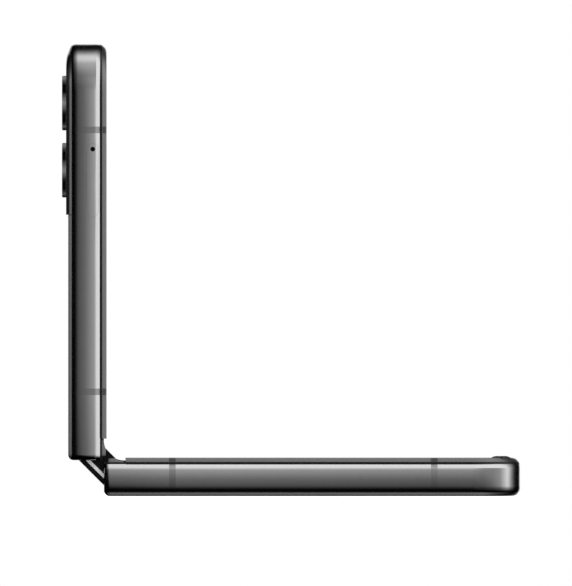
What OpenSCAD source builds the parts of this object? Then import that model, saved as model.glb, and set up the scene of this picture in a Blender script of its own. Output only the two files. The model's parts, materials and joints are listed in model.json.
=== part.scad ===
// Clamshell foldable smartphone, open at a right angle.
//
// The lower half lies flat and the upper half stands. Each half is drawn in its own
// frame: x runs from the fold to the far end, y across, z from the rear glass to the
// display. The spine between the halves turns on one pivot line in each half, and two
// meshed idler gears keep both halves at the same angle to it.

/* [Body] */
// Distance from the fold plane to the far end of each half
half_length = 82.6; // [80:0.1:90]
// Width across the side rails
width = 71.9; // [71:0.1:76]
// Plan radius of the far corners
corner_radius = 9.5; // [6:0.1:12]
// Height of the bezel seat above the rear glass
seat_height = 6.68; // [6.6:0.02:7]
// Height of the bezel above its seat
bezel_height = 0.89; // [0.7:0.01:1.2]
// Thickness of the rear glass
glass_thickness = 0.68; // [0.5:0.02:0.7]
// Inset of the rear glass from the rails
glass_inset = 0.3; // [0.1:0.05:0.6]
// Distance of the rear glass from the fold plane
glass_start = 0.75; // [0.6:0.05:1]
// Distance of each half from the fold plane when the phone lies open
fold_gap = 0.3; // [0.2:0.02:0.4]

/* [Frame] */
// Thickness of the side rails
rail_thickness = 1.95; // [1.6:0.05:2]
// Crown radius of the rail's outside
rail_crown = 9.9; // [9:0.1:40]
// Width of the polished chamfer on the display side
front_chamfer = 0.75; // [0.3:0.05:1]
// Radius on the upright edges of the rails at the fold
end_rounding = 0.9; // [0.4:0.05:1.2]
// Radius on the rear edge of each half at the fold
heel_rounding = 1.1; // [0.8:0.05:1.4]
// Radius on the rear edge of the rails
rear_rounding = 0.8; // [0.3:0.05:1.2]
// Depth of the shadow line between the rail and the bezel
shadow_line = 0.45; // [0.3:0.05:0.5]
// Depth of the mid plate below the bezel seat
mid_drop = 0.58; // [0.55:0.01:0.6]
// Thickness of the mid plate
mid_thickness = 0.8; // [0.6:0.05:0.9]
// Thickness of the ledge that carries the rear glass
ledge_thickness = 0.3; // [0.2:0.05:0.4]
// Width of the ledge inside the rails
ledge_width = 1.2; // [0.8:0.1:1.5]
// Length of each antenna strip along the rail
antenna_length = 1.3; // [0.8:0.1:2]
// Distance of the near antenna strips from the fold plane
antenna_near = 13.8; // [12:0.1:16]
// Distance of the far antenna strips from the far end
antenna_far = 17.1; // [16:0.1:18.5]
// Distance of the upper far strip on the key side from the far end
antenna_key_side = 10.7; // [10.5:0.1:11]

/* [Bezel and display] */
// Inset of the bezel from the rail
bezel_inset = 0.6; // [0.3:0.05:0.8]
// Width of the visible bezel
bezel_width = 2.4; // [2.2:0.05:2.8]
// Thickness of the bezel lip over the display edge
bezel_lip = 0.49; // [0.3:0.01:0.5]
// Distance of the full-height bezel from the fold plane
bezel_start = 4.6; // [4.6:0.1:6]
// Thickness of the display panel
display_thickness = 0.73; // [0.5:0.01:0.73]
// Thickness of the display support plate
support_thickness = 0.2; // [0.1:0.01:0.25]
// Overlap of the bezel lip on the display
display_overlap = 0.45; // [0.2:0.05:0.45]
// Distance from the fold plane at which the bending part of the display begins
display_split = 5; // [5:0.1:6]
// Middle radius of the display bend at a right angle
bend_radius = 4.4; // [4.4:0.05:4.6]
// Height of the rubber bumpers above the bezel
bumper_height = 0.34; // [0.2:0.02:0.5]
// Length of the rubber bumpers along the bezel
bumper_length = 3.4; // [2:0.1:4]
// Width of the rubber bumpers
bumper_width = 2; // [1:0.1:2.1]

/* [Hinge] */
// Distance of each pivot line from the fold plane
pivot_distance = 3.05; // [3:0.01:3.1]
// Depth of each pivot line below the bezel seat
pivot_drop = 1.18; // [1.1:0.01:1.22]
// Thickness of the lip of each half under the spine
lip_thickness = 0.22; // [0.18:0.01:0.26]
// Running gap between the spine and the halves
spine_clearance = 0.24; // [0.2:0.01:0.28]
// Wall of the spine shell
spine_wall = 0.5; // [0.35:0.05:0.5]
// Angle below the pivot line at which the spine shell ends
spine_edge_angle = 12; // [10:1:20]
// Number of teeth of a full hinge gear
gear_teeth = 10; // [10:2:12]
// Gap between the idler gears and the floor of the hinge base
gear_floor_gap = 0.175; // [0.1:0.005:0.18]
// Width of the hinge gears
gear_width = 3.2; // [2:0.1:3.2]
// Radius of the idler pins
pin_radius = 0.45; // [0.35:0.05:0.5]
// Inner radius of the arc tongues
tongue_inner = 2; // [1.9:0.05:2.2]
// Outer radius of the arc tongues
tongue_outer = 2.8; // [2.6:0.05:3]
// Angle that each arc tongue reaches below its arm
tongue_sweep = 125; // [115:1:130]
// Width of the arc tongues
tongue_width = 2; // [1.5:0.1:2]
// Gap between each hinge and the cap in the end of the spine
hinge_end_gap = 1.3; // [1.1:0.1:3]
// Number of disc springs on each pin
spring_count = 5; // [3:1:6]

/* [Cameras and cover glass] */
// Length of the raised cover glass
cover_length = 33.85; // [33.5:0.05:36]
// Height of the cover glass above the rear glass
cover_rise = 0.42; // [0.1:0.02:0.5]
// Outer diameter of the camera rings
camera_diameter = 10.9; // [9:0.1:11.5]
// Height of the camera rings above the rear glass
camera_rise = 1.32; // [0.8:0.01:1.5]
// Distance of the first camera from the far end
camera_first = 11; // [10.8:0.1:12.5]
// Distance between the two cameras
camera_pitch = 13.4; // [12.6:0.1:13.6]
// Distance of the cameras from the side of the phone
camera_side = 11.6; // [11.2:0.1:13]
// Distance of the cover display from the inside of the side rail
cover_display_margin = 1.75; // [1.4:0.05:6]
// Gap between the cover display and the flash
cover_display_gap = 2.4; // [1.8:0.1:4]
// Width of the cover display
cover_display_width = 22; // [18:0.5:23]

/* [Keys, tray and socket] */
// Length of the volume key
volume_length = 17.5; // [14:0.5:18]
// Length of the power key
power_length = 13; // [10:0.5:14]
// Height of the keys
key_height = 2.6; // [2:0.1:2.8]
// Distance of the volume key from the far end
volume_place = 21; // [20:0.5:22]
// Distance of the power key from the far end
power_place = 41.6; // [40:0.5:43]
// Length of the tray face
tray_length = 14.4; // [14:0.1:15]
// Height of the tray face
tray_height = 2.2; // [1.8:0.1:2.2]
// Distance of the tray from the far end
tray_place = 27; // [26.5:0.1:28]
// Depth of the middle of the tray below the bezel seat
tray_drop = 1.83; // [1.82:0.01:1.86]
// Diameter of the eject hole
eject_diameter = 0.8; // [0.6:0.05:1]
// Width of the socket opening
socket_width = 8.34; // [8.34:0.01:8.4]
// Height of the socket opening
socket_height = 2.56; // [2.5:0.01:2.56]

/* [Hidden] */
$fn = 48;
eps = 0.01;
rest_turn = 45;

// Levels of a half, measured from its rear glass
half_width = width / 2;
origin_x = -(half_length + fold_gap) / 2;
rail_top = seat_height - shadow_line;
mid_top = seat_height - mid_drop;
mid_bottom = mid_top - mid_thickness;
support_top = mid_top + support_thickness;
display_top = support_top + display_thickness;
display_middle = support_top + display_thickness / 2;
bezel_top = seat_height + bezel_height;
cavity_bottom = glass_thickness + ledge_thickness;
rail_inner = half_width - rail_thickness;
ledge_inset = rail_thickness + ledge_width;
tray_level = seat_height - tray_drop;

// Bezel and display outlines, as insets from the rail
bezel_inner = bezel_inset + bezel_width;
display_inset = bezel_inner - display_overlap;
bezel_leg = display_inset - 0.1;
bezel_foot = bezel_inset + 0.4;

// Spine
pivot_height = seat_height - pivot_drop;
lip_top = glass_thickness + lip_thickness;
spine_radius = pivot_height - lip_top - spine_clearance;
pocket_wall = 0.8;
wall_start = pivot_distance + spine_radius + 2 * spine_clearance + eps;
wall_end = wall_start + pocket_wall;
spine_end = rail_inner - 0.2;
shell_inner = spine_radius - spine_wall;
base_radius = shell_inner - 0.06;
base_top = -0.35;
base_floor = 0.5;
cap_foot = 2.6;
cap_crest = 1.4;
spine_span = pivot_distance + spine_radius + 1;

// Display bend: the middle line is an arc that meets both halves at a tangent
bend_offset = display_middle - pivot_height;
bend_corner = bend_offset * sqrt(2) - pivot_distance;
bend_centre = bend_corner + bend_radius * sqrt(2);
bend_start = pivot_distance * (1 - sqrt(2)) + bend_offset + bend_radius;
fold_display_half = rail_inner - 1.6;
cap_inner = fold_display_half + 0.1;

// Hinge gears: sector and idler share one size, so all of them turn at the same rate,
// and the lowest tip of an idler stands just clear of the floor of the base
gear_pitch = 360 / gear_teeth;
gear_addendum = 0.2;
gear_room = shell_inner - base_floor - gear_floor_gap - gear_addendum;
gear_radius = (sqrt(pow(pivot_distance + gear_room, 2)
    + 2 * (pow(pivot_distance, 2) + pow(gear_room, 2))) - pivot_distance - gear_room) / 2;
gear_tip = gear_radius + gear_addendum;
gear_root = gear_radius - 0.3;
idler_drop = sqrt(pow(2 * gear_radius, 2) - pow(pivot_distance - gear_radius, 2));
mesh_angle = atan2(idler_drop, pivot_distance - gear_radius);
// Tooth phases at rest: a tooth of the lower idler stands in a gap of the upper one
lower_idler_phase = 0;
upper_idler_phase = gear_pitch / 2;
lower_sector_phase = 180 + 2 * mesh_angle - lower_idler_phase + gear_pitch / 2;
upper_sector_phase = 180 - 2 * mesh_angle - upper_idler_phase + gear_pitch / 2;

// Layout of one hinge along the spine
slot_clearance = 0.1;
slot_width = tongue_width + 2 * slot_clearance;
end_plate = 1.2;
plate_end = cap_inner - hinge_end_gap;
plate_start = plate_end - end_plate;
gear_end = plate_start - 0.6;
gear_start = gear_end - gear_width;
block_end = gear_start - 0.4;
upper_slot = block_end - 0.7 - slot_width;
lower_slot = upper_slot - 0.5 - slot_width;
hinge_start = lower_slot - 0.6;
cam_thickness = 1;
spring_thickness = 0.7;
cam_start = hinge_start - cam_thickness;
spring_start = cam_start - spring_count * spring_thickness;
stop_start = spring_start - 0.8;
flange_start = wall_start + 0.1;
flange_end = 17;
flange_inner = hinge_start - 0.4;
shelf_end = flange_end + 0.8;
arm_floor = mid_bottom;
boss_depth = 0.7;
head_height = 0.35;
screw_radius = 0.6;
screw_gap = 0.02;
head_radius = 0.95;
head_gap = 0.05;
screw_margin = 1.6;
screw_x = [flange_start + 2.2, flange_end - 2];

// Inner pieces
battery_start = shelf_end + 0.6;
lower_battery_end = half_length - 22.6;
battery_half = rail_inner - 3;
tray_u = half_length - tray_place;
reader_half = 7.6;
upper_battery_end = tray_u - reader_half - 2;
coil_radius = 19;
coil_turns = 5;
coil_pitch = 2;
coil_band = 1.4;
board_thickness = 0.7;
shield_height = 1.1;
board_top = tray_level - 0.95;
board_bottom = board_top - board_thickness;
board_edge = rail_inner - ledge_width - 0.05;
camera_v = half_width - camera_side;
camera_u = [half_length - camera_first - camera_pitch, half_length - camera_first];
camera_radius = camera_diameter / 2;
camera_gap = 0.08;
camera_flange = 0.22;
camera_top = glass_thickness + camera_flange;
ring_lip = 0.95;
ring_wall = 1.35;
lens_depth = 0.15;
lens_thickness = 0.55;
module_gap = 0.01;
barrel_radius = camera_radius - 1.45;
flash_radius = 1.5;
led_side = 2.8;
cover_start = half_length - cover_length;
cover_inset = 0.35;
flash_u = (camera_u[0] + camera_u[1]) / 2;
flash_v = camera_v - 11.2;
camera_box = 10;
board_key_edge = camera_v - camera_box / 2 - 2.85;
shield_edge = flash_v - 2.15;
post_radius = 1.1;
front_camera_u = half_length - 5.6;
front_camera_hole = 1.6;
cover_display_thickness = 0.72;
glass_joint = 0.12;
volume_u = half_length - volume_place;
power_u = half_length - power_place;
tray_depth = 14.5;
tray_plate = 0.9;
key_level = 3.4;
key_rise = 0.4;
key_gap = 0.1;
key_depth = 1.6;
post_pin = 0.7;
dome_radius = 1.1;
volume_reach = volume_length / 2 - 3;
tray_gap = 0.08;
face_depth = 1.3;
carrier_half = 6.3;
carrier_gap = 0.6;
carrier_rim = 0.8;
card_half = 4.4;
socket_wall = 0.3;
socket_depth = 7;
tongue_half = 3.3;
tongue_plate = 0.7;
motor_length = 15;
motor_width = 6;
socket_gap = 0.1;
socket_level = mid_bottom - 0.02 - socket_wall - socket_height / 2;
speaker_first = -11;
speaker_pitch = 2.3;
speaker_count = 6;
speaker_radius = 0.65;
microphone_place = 12;
microphone_radius = 0.5;
sub_board_top = socket_level - socket_height / 2 - socket_wall;

// ---------- places ----------

module on_lower() {
    translate([origin_x, 0, 0]) children();
}

module on_spine() {
    translate([origin_x + pivot_distance, 0, pivot_height])
        rotate([0, rest_turn, 0])
            translate([-pivot_distance, 0, 0]) children();
}

module on_upper() {
    on_spine()
        translate([-pivot_distance, 0, 0])
            rotate([0, rest_turn, 0])
                translate([pivot_distance, 0, -pivot_height])
                    mirror([1, 0, 0]) children();
}

module both_sides() {
    for (side = [0, 1]) mirror([0, side, 0]) children();
}

// ---------- shapes ----------

// Block between two corners
module block(a, b) {
    translate(a) cube(b - a);
}

// Prism across the phone, from an outline in x and z
module across(y0, y1) {
    translate([0, y1, 0]) rotate([90, 0, 0]) linear_extrude(y1 - y0) children();
}

// Sweep of a rail section (x = 0 at the outside, inwards negative) round three sides
module sweep_round(start) {
    both_sides() {
        translate([start, half_width, 0]) rotate([90, 0, 90])
            linear_extrude(half_length - corner_radius - start) children();
        translate([half_length - corner_radius, half_width - corner_radius, 0])
            rotate_extrude(angle = 90, $fn = 96) translate([corner_radius, 0]) children();
    }
    translate([half_length, half_width - corner_radius, 0]) rotate([90, 0, 0])
        linear_extrude(2 * (half_width - corner_radius)) children();
}

// Plate with two rounded far corners, inset from the outside of the rails
module plate(inset, start, z0, z1) {
    side = half_width - inset;
    core = half_width - corner_radius;
    translate([0, 0, z0]) linear_extrude(z1 - z0) {
        translate([start, -side]) square([half_length - corner_radius - start, 2 * side]);
        translate([start, -core]) square([half_length - inset - start, 2 * core]);
        for (y = [-core, core])
            translate([half_length - corner_radius, y]) circle(corner_radius - inset, $fn = 96);
    }
}

// Bar with round ends, its length along x and its depth along y
module bar_y(length, height, y0, y1) {
    flat = length - height;
    translate([-flat / 2, y0, -height / 2]) cube([flat, y1 - y0, height]);
    for (x = [-flat / 2, flat / 2])
        translate([x, y0, 0]) rotate([-90, 0, 0]) cylinder(d = height, h = y1 - y0);
}

// Bar with round ends, its length along y and its depth along x
module bar_x(length, height, x0, x1) {
    flat = length - height;
    translate([x0, -flat / 2, -height / 2]) cube([x1 - x0, flat, height]);
    for (y = [-flat / 2, flat / 2])
        translate([x0, y, 0]) rotate([0, 90, 0]) cylinder(d = height, h = x1 - x0);
}

// Pin or ring along y
module pin_y(radius, y0, y1) {
    translate([0, y0, 0]) rotate([-90, 0, 0]) cylinder(r = radius, h = y1 - y0);
}

// ---------- frames ----------

module rail_section() {
    middle = (glass_thickness + rail_top) / 2;
    difference() {
        intersection() {
            translate([-rail_thickness, glass_thickness])
                square([rail_thickness, rail_top - glass_thickness]);
            translate([-rail_crown, middle]) circle(rail_crown, $fn = 192);
        }
        translate([0, rail_top]) rotate(45) square(front_chamfer * sqrt(2), center = true);
        translate([0, glass_thickness]) corner_waste(rear_rounding);
    }
}

// What a rounding takes off a corner at the origin that has its solid to the upper left
module corner_waste(radius) {
    difference() {
        translate([-radius, -eps]) square([radius + eps, radius + eps]);
        translate([-radius, radius]) circle(radius);
    }
}

// Rounding of the rear edge of a half at the fold
module heel_cut() {
    across(-half_width - 1, half_width + 1)
        translate([fold_gap, 0]) mirror([1, 0, 0]) corner_waste(heel_rounding);
}

// Roundings of the upright edges of the rails at the fold
module rail_end_cuts() {
    both_sides() translate([fold_gap, half_width, 0])
        linear_extrude(seat_height) rotate(180) corner_waste(end_rounding);
}

module ledge_section() {
    translate([-ledge_inset, glass_thickness])
        square([ledge_width + 2 * eps, ledge_thickness]);
}

// Cuts through both rails; the far one on the key side has a place of its own
module antenna_cuts(far, key_side_far) {
    for (x = [antenna_near, half_length - key_side_far])
        antenna_cut(x);
    mirror([0, 1, 0]) for (x = [antenna_near, half_length - far])
        antenna_cut(x);
}

module antenna_cut(x) {
    block([x - antenna_length / 2, rail_inner, 0],
          [x + antenna_length / 2, half_width + 1, seat_height]);
}

module bracket_screw_places() {
    for (x = screw_x)
        for (y = [flange_inner + screw_margin, plate_end - screw_margin])
            both_sides() translate([x, y, 0]) children();
}

// Rails, mid plate, rear ledge and the walls round the spine pocket
module half_frame() {
    difference() {
        union() {
            sweep_round(fold_gap) rail_section();
            sweep_round(wall_start) ledge_section();
            plate(rail_thickness - eps, wall_start, mid_bottom, mid_top);
            block([wall_start, -rail_inner - eps, glass_thickness],
                  [wall_end, rail_inner + eps, mid_bottom + eps]);
            block([fold_gap, -rail_inner - eps, glass_thickness],
                  [wall_end, rail_inner + eps, lip_top]);
            both_sides()
                block([wall_start, flange_inner - 0.6, mid_bottom - boss_depth],
                      [shelf_end, plate_end + 0.6, mid_bottom + eps]);
        }
        both_sides()
            block([wall_start - 1, flange_inner - 0.1, arm_floor],
                  [flange_end + 0.1, plate_end + 0.1, mid_top + 1]);
        bracket_screw_places()
            translate([0, 0, mid_bottom - boss_depth - eps])
                cylinder(r = screw_radius + screw_gap, h = boss_depth + 1);
        heel_cut();
        rail_end_cuts();
    }
}

module end_hole(y, radius) {
    translate([half_length, y, socket_level]) rotate([0, -90, 0])
        cylinder(r = radius, h = 2 * rail_thickness + 1, center = true);
}

module lower_frame() {
    color("silver") on_lower() difference() {
        half_frame();
        antenna_cuts(antenna_far, antenna_far);
        translate([0, 0, socket_level])
            bar_x(socket_width + 2 * socket_wall + socket_gap,
                  socket_height + 2 * socket_wall + socket_gap,
                  half_length - rail_thickness - 1, half_length + 1);
        for (i = [0:speaker_count - 1])
            end_hole(speaker_first - speaker_pitch * i, speaker_radius);
        end_hole(microphone_place, microphone_radius);
    }
}

module upper_frame() {
    color("silver") on_upper() difference() {
        union() {
            half_frame();
            for (p = board_posts())
                translate([p[0], p[1], board_top])
                    cylinder(r = post_radius, h = mid_bottom - board_top + eps);
        }
        antenna_cuts(antenna_far, antenna_key_side);
        mirror([0, 1, 0]) translate([tray_u, 0, tray_level])
            bar_y(tray_length + 2 * tray_gap, tray_height + 2 * tray_gap,
                  rail_inner - 0.2, half_width + 1);
        translate([volume_u, 0, key_level])
            bar_y(volume_length + 2 * key_gap, key_height + 2 * key_gap,
                  rail_inner - 0.2, half_width + 1);
        translate([power_u, 0, key_level])
            bar_y(power_length + 2 * key_gap, key_height + 2 * key_gap,
                  rail_inner - 0.2, half_width + 1);
        translate([front_camera_u, 0, mid_bottom - 1]) cylinder(r = front_camera_hole, h = 3);
    }
}

module lower_antenna_strips() {
    color("dimgray") on_lower() intersection() {
        sweep_round(fold_gap) rail_section();
        antenna_cuts(antenna_far, antenna_far);
    }
}

module upper_antenna_strips() {
    color("dimgray") on_upper() intersection() {
        sweep_round(fold_gap) rail_section();
        antenna_cuts(antenna_far, antenna_key_side);
    }
}

// ---------- glass, bezels and display ----------

module lower_back_glass() {
    color("gray") on_lower() difference() {
        plate(glass_inset, glass_start, 0, glass_thickness);
        heel_cut();
    }
}

module upper_back_glass() {
    color("gray") on_upper() difference() {
        block([glass_start, -half_width + glass_inset, 0],
              [cover_start - glass_joint, half_width - glass_inset, glass_thickness]);
        heel_cut();
    }
}

module bezel_section() {
    translate([-bezel_leg, rail_top])
        square([bezel_leg - bezel_foot, bezel_top - rail_top]);
    translate([-bezel_leg, seat_height])
        square([bezel_leg - bezel_inset, bezel_top - seat_height]);
    translate([-bezel_inner, bezel_top - bezel_lip])
        square([bezel_inner - bezel_inset, bezel_lip]);
}

// The bezel drops to a low strip beside the fold and rises once more at its end
module bezel_end_outline() {
    polygon([
        [fold_gap, rail_top], [bezel_start + eps, rail_top], [bezel_start + eps, seat_height],
        [bezel_start - 0.25, seat_height], [bezel_start - 0.5, seat_height + 0.25],
        [bezel_start - 1, seat_height + 0.27], [bezel_start - 1.6, seat_height + 0.47],
        [bezel_start - 2.1, seat_height + 0.82], [bezel_start - 2.5, seat_height + 0.77],
        [bezel_start - 2.85, seat_height], [fold_gap, seat_height]
    ]);
}

module half_bezel() {
    sweep_round(bezel_start) bezel_section();
    both_sides()
        across(rail_inner, half_width - bezel_foot) bezel_end_outline();
}

module lower_bezel() {
    color("dimgray") on_lower() half_bezel();
}

module upper_bezel() {
    color("dimgray") on_upper() half_bezel();
}

module half_panel(z0, z1) {
    plate(display_inset, display_split, z0, z1);
}

module lower_display() {
    color("black") on_lower() half_panel(support_top, display_top);
}

module upper_display() {
    color("black") on_upper() difference() {
        half_panel(support_top, display_top);
        translate([front_camera_u, 0, support_top - 1]) cylinder(r = front_camera_hole, h = 3);
    }
}

module lower_support_plate() {
    color("lightsteelblue") on_lower() half_panel(mid_top, support_top);
}

module upper_support_plate() {
    color("lightsteelblue") on_upper() difference() {
        half_panel(mid_top, support_top);
        translate([front_camera_u, 0, mid_top - 1]) cylinder(r = front_camera_hole, h = 3);
    }
}

// Domes on the bezel, across the diagonal of each far corner
module bumpers() {
    reach = bumper_length / 2;
    dome_radius = (pow(reach, 2) + pow(bumper_height, 2)) / (2 * bumper_height);
    color("black") on_lower() both_sides()
        translate([half_length - corner_radius, half_width - corner_radius, bezel_top])
            rotate([0, 0, 45])
                translate([corner_radius - bezel_inset - bezel_width / 2, 0, 0])
                    intersection() {
                        rotate_extrude($fn = 96) intersection() {
                            translate([0, bumper_height - dome_radius])
                                circle(dome_radius, $fn = 96);
                            square([bumper_length, bumper_height]);
                        }
                        translate([-bumper_width / 2, -bumper_length, 0])
                            cube([bumper_width, 2 * bumper_length, bumper_height]);
                    }
}

// ---------- hinge pieces on the halves ----------

function on_circle(r, a) = [r * cos(a), r * sin(a)];

// Outline of one gear tooth about its middle angle
function tooth(a) = [
    on_circle(gear_root, a - 11), on_circle(gear_radius, a - 7.4), on_circle(gear_tip, a - 3.2),
    on_circle(gear_tip, a + 3.2), on_circle(gear_radius, a + 7.4), on_circle(gear_root, a + 11)
];

function sector_angles(phase) = [
    for (k = [-gear_teeth:2 * gear_teeth])
        let (a = phase + k * gear_pitch)
            if (a >= 130 && a <= 250) a
];

module gear_outline(phase) {
    polygon([for (k = [0:gear_teeth - 1]) each tooth(phase + k * gear_pitch)]);
}

module sector_outline(phase) {
    polygon(concat([[0, 0]], [for (a = sector_angles(phase)) each tooth(a)]));
}

// Ring segment that runs from the arm down and under the pivot line
module tongue_outline() {
    reach = 2 * tongue_outer;
    intersection() {
        difference() {
            circle(tongue_outer);
            circle(tongue_inner);
        }
        polygon(concat([[0, 0]], [for (a = [-tongue_sweep, -80, -40, 0, 20]) on_circle(reach, a)]));
        translate([-reach, -reach]) square([2 * reach, reach + mid_top - pivot_height]);
    }
}

// Flange on the mid plate, arc tongue in the given slot and gear sector at the other end
module hinge_bracket(slot, phase) {
    difference() {
        union() {
            block([flange_start, flange_inner, arm_floor], [flange_end, plate_end, mid_top]);
            block([pivot_distance + tongue_inner + 0.3, slot + slot_clearance, arm_floor],
                  [flange_start + eps, slot + slot_clearance + tongue_width, mid_top]);
            block([pivot_distance, gear_start, arm_floor],
                  [flange_start + eps, gear_end, mid_top]);
            translate([pivot_distance, 0, pivot_height]) {
                across(slot + slot_clearance, slot + slot_clearance + tongue_width)
                    tongue_outline();
                across(gear_start, gear_end) {
                    sector_outline(phase);
                    intersection() {
                        circle(0.8);
                        translate([-1, -1]) square([2, 1 + mid_top - pivot_height]);
                    }
                }
            }
        }
        for (y = [flange_inner + screw_margin, plate_end - screw_margin])
            translate([0, y, 0]) bracket_holes();
    }
}

module bracket_holes() {
    for (x = screw_x)
        translate([x, 0, arm_floor - 1]) {
            cylinder(r = screw_radius + screw_gap, h = mid_thickness + 2);
            translate([0, 0, 1 + mid_thickness - head_height - screw_gap])
                cylinder(r = head_radius + head_gap, h = 1);
        }
}

module bracket_screw() {
    translate([0, 0, mid_top - head_height]) cylinder(r = head_radius, h = head_height);
    tip = mid_bottom - boss_depth + 0.05;
    translate([0, 0, tip]) cylinder(r = screw_radius, h = mid_top - head_height - tip + eps);
}

module lower_hinge_brackets() {
    color("lightslategray") on_lower() both_sides()
        hinge_bracket(lower_slot, lower_sector_phase - rest_turn);
}

module upper_hinge_brackets() {
    color("lightslategray") on_upper() both_sides()
        hinge_bracket(upper_slot, 180 - rest_turn - upper_sector_phase);
}

module lower_hinge_screws() {
    color("gainsboro") on_lower() bracket_screw_places() bracket_screw();
}

module upper_hinge_screws() {
    color("gainsboro") on_upper() bracket_screw_places() bracket_screw();
}

// ---------- spine ----------

// Two round flanks about the pivot lines with a flat between them
module spine_outline(radius) {
    for (x = [-pivot_distance, pivot_distance]) translate([x, 0]) circle(radius, $fn = 96);
    translate([-pivot_distance, -radius]) square([2 * pivot_distance, 2 * radius]);
}

module spine_shell() {
    edge = spine_radius * sin(spine_edge_angle);
    color("silver") on_spine() across(-spine_end, spine_end) difference() {
        spine_outline(spine_radius);
        spine_outline(shell_inner);
        translate([-spine_span, -edge]) square([2 * spine_span, spine_span]);
    }
}

module base_outline() {
    intersection() {
        union() {
            spine_outline(base_radius);
            translate([-pivot_distance, -shell_inner]) square([2 * pivot_distance, 3]);
        }
        translate([-spine_span, -spine_span]) square([2 * spine_span, spine_span + base_top]);
    }
}

module slot_outline() {
    difference() {
        circle(tongue_outer + 0.07);
        circle(tongue_inner - 0.07);
    }
}

// Block with the arc slots, floor under the gears and the walls that hold the pins
module hinge_base() {
    difference() {
        union() {
            across(hinge_start, block_end) base_outline();
            across(stop_start, plate_end) intersection() {
                base_outline();
                translate([-spine_span, -shell_inner]) square([2 * spine_span, base_floor]);
            }
            for (y = [stop_start, plate_start])
                across(y, y + (y == stop_start ? 0.8 : plate_end - plate_start))
                    intersection() {
                        base_outline();
                        translate([-2 * gear_radius, -shell_inner])
                            square([4 * gear_radius, shell_inner + base_top - 0.5]);
                    }
        }
        translate([pivot_distance, 0, 0])
            across(lower_slot, lower_slot + slot_width) slot_outline();
        translate([-pivot_distance, 0, 0])
            across(upper_slot, upper_slot + slot_width) slot_outline();
        for (x = [-gear_radius, gear_radius])
            translate([x, 0, -idler_drop]) pin_y(pin_radius + 0.01, stop_start - 1, plate_end + 1);
    }
}

module hinge_bases() {
    color("slategray") on_spine() both_sides() hinge_base();
}

module gear_pins() {
    color("gainsboro") on_spine() both_sides()
        for (x = [-gear_radius, gear_radius])
            translate([x, 0, -idler_drop]) pin_y(pin_radius, stop_start, plate_end);
}

module disc_springs() {
    color("steelblue") on_spine() both_sides()
        for (x = [-gear_radius, gear_radius])
            for (i = [0:spring_count - 1])
                translate([x, spring_start + i * spring_thickness, -idler_drop])
                    difference() {
                        pin_y(gear_radius - 0.1, 0, spring_thickness);
                        pin_y(pin_radius + 0.05, -1, spring_thickness + 1);
                    }
}

module cam_plates() {
    color("darkgray") on_spine() both_sides() translate([0, 0, -idler_drop]) difference() {
        union() {
            for (x = [-gear_radius, gear_radius])
                translate([x, 0, 0]) pin_y(gear_radius, cam_start, hinge_start);
            block([-gear_radius, cam_start, -gear_radius + 0.2],
                  [gear_radius, hinge_start, gear_radius - 0.2]);
        }
        for (x = [-gear_radius, gear_radius])
            translate([x, 0, 0]) pin_y(pin_radius + 0.05, cam_start - 1, hinge_start + 1);
    }
}

// Plugs in the spine ends; each one rises to a cap over the end of the display bend
module fold_caps() {
    cap_top = pivot_drop - 0.12;
    color("black") on_spine() both_sides() across(cap_inner, spine_end) {
        base_outline();
        polygon([[-cap_foot, base_top - eps], [-cap_crest, cap_top],
                 [cap_crest, cap_top], [cap_foot, base_top - eps]]);
    }
}

// Band of the display that bends: an arc between two straight ends, each at a tangent
module display_fold() {
    run = display_split - 0.03 - bend_start;
    steps = 24;
    function on_arc(r, a) = [0, bend_centre] + on_circle(r, a);
    function run_out(side) = run * [side * cos(rest_turn), sin(rest_turn)];
    inner = bend_radius - display_thickness / 2;
    outer = bend_radius + display_thickness / 2;
    first = -90 - rest_turn;
    last = -90 + rest_turn;
    angles = [for (i = [0:steps]) first + (last - first) * i / steps];
    color("black") on_spine() across(-fold_display_half, fold_display_half)
        polygon(concat(
            [on_arc(outer, first) + run_out(-1)],
            [for (a = angles) on_arc(outer, a)],
            [on_arc(outer, last) + run_out(1), on_arc(inner, last) + run_out(1)],
            [for (i = [0:steps]) on_arc(inner, angles[steps - i])],
            [on_arc(inner, first) + run_out(-1)]
        ));
}

module idler(phase) {
    difference() {
        across(gear_start, gear_end) gear_outline(phase);
        pin_y(pin_radius + 0.05, gear_start - 1, gear_end + 1);
    }
}

module lower_idlers() {
    color("gold") on_spine() both_sides()
        translate([gear_radius, 0, -idler_drop]) idler(lower_idler_phase);
}

module upper_idlers() {
    color("gold") on_spine() both_sides()
        translate([-gear_radius, 0, -idler_drop]) idler(upper_idler_phase);
}

// ---------- inside the lower half ----------

module lower_battery() {
    color("dimgray") on_lower()
        block([battery_start, -battery_half, cavity_bottom],
              [lower_battery_end, battery_half, mid_bottom]);
}

module charging_coil() {
    middle = (battery_start + lower_battery_end) / 2;
    color("peru") on_lower() translate([middle, 0, glass_thickness])
        for (i = [0:coil_turns - 1]) difference() {
            cylinder(r = coil_radius - coil_pitch * i, h = ledge_thickness - 0.02);
            translate([0, 0, -1]) cylinder(r = coil_radius - coil_band - coil_pitch * i, h = 3);
        }
}

// Rounds a far corner of a board to the inside of the rail
module board_corner_cut() {
    translate([half_length - corner_radius, half_width - corner_radius, 0]) difference() {
        cube(2 * corner_radius);
        translate([0, 0, -1])
            cylinder(r = corner_radius - rail_thickness - 0.3, h = 2 * corner_radius + 2);
    }
}

module sub_board() {
    color("darkgreen") on_lower() difference() {
        block([lower_battery_end + 1.5, -board_edge, sub_board_top - board_thickness],
              [half_length - rail_thickness - 0.3, board_edge, sub_board_top]);
        both_sides() board_corner_cut();
    }
}

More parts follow.
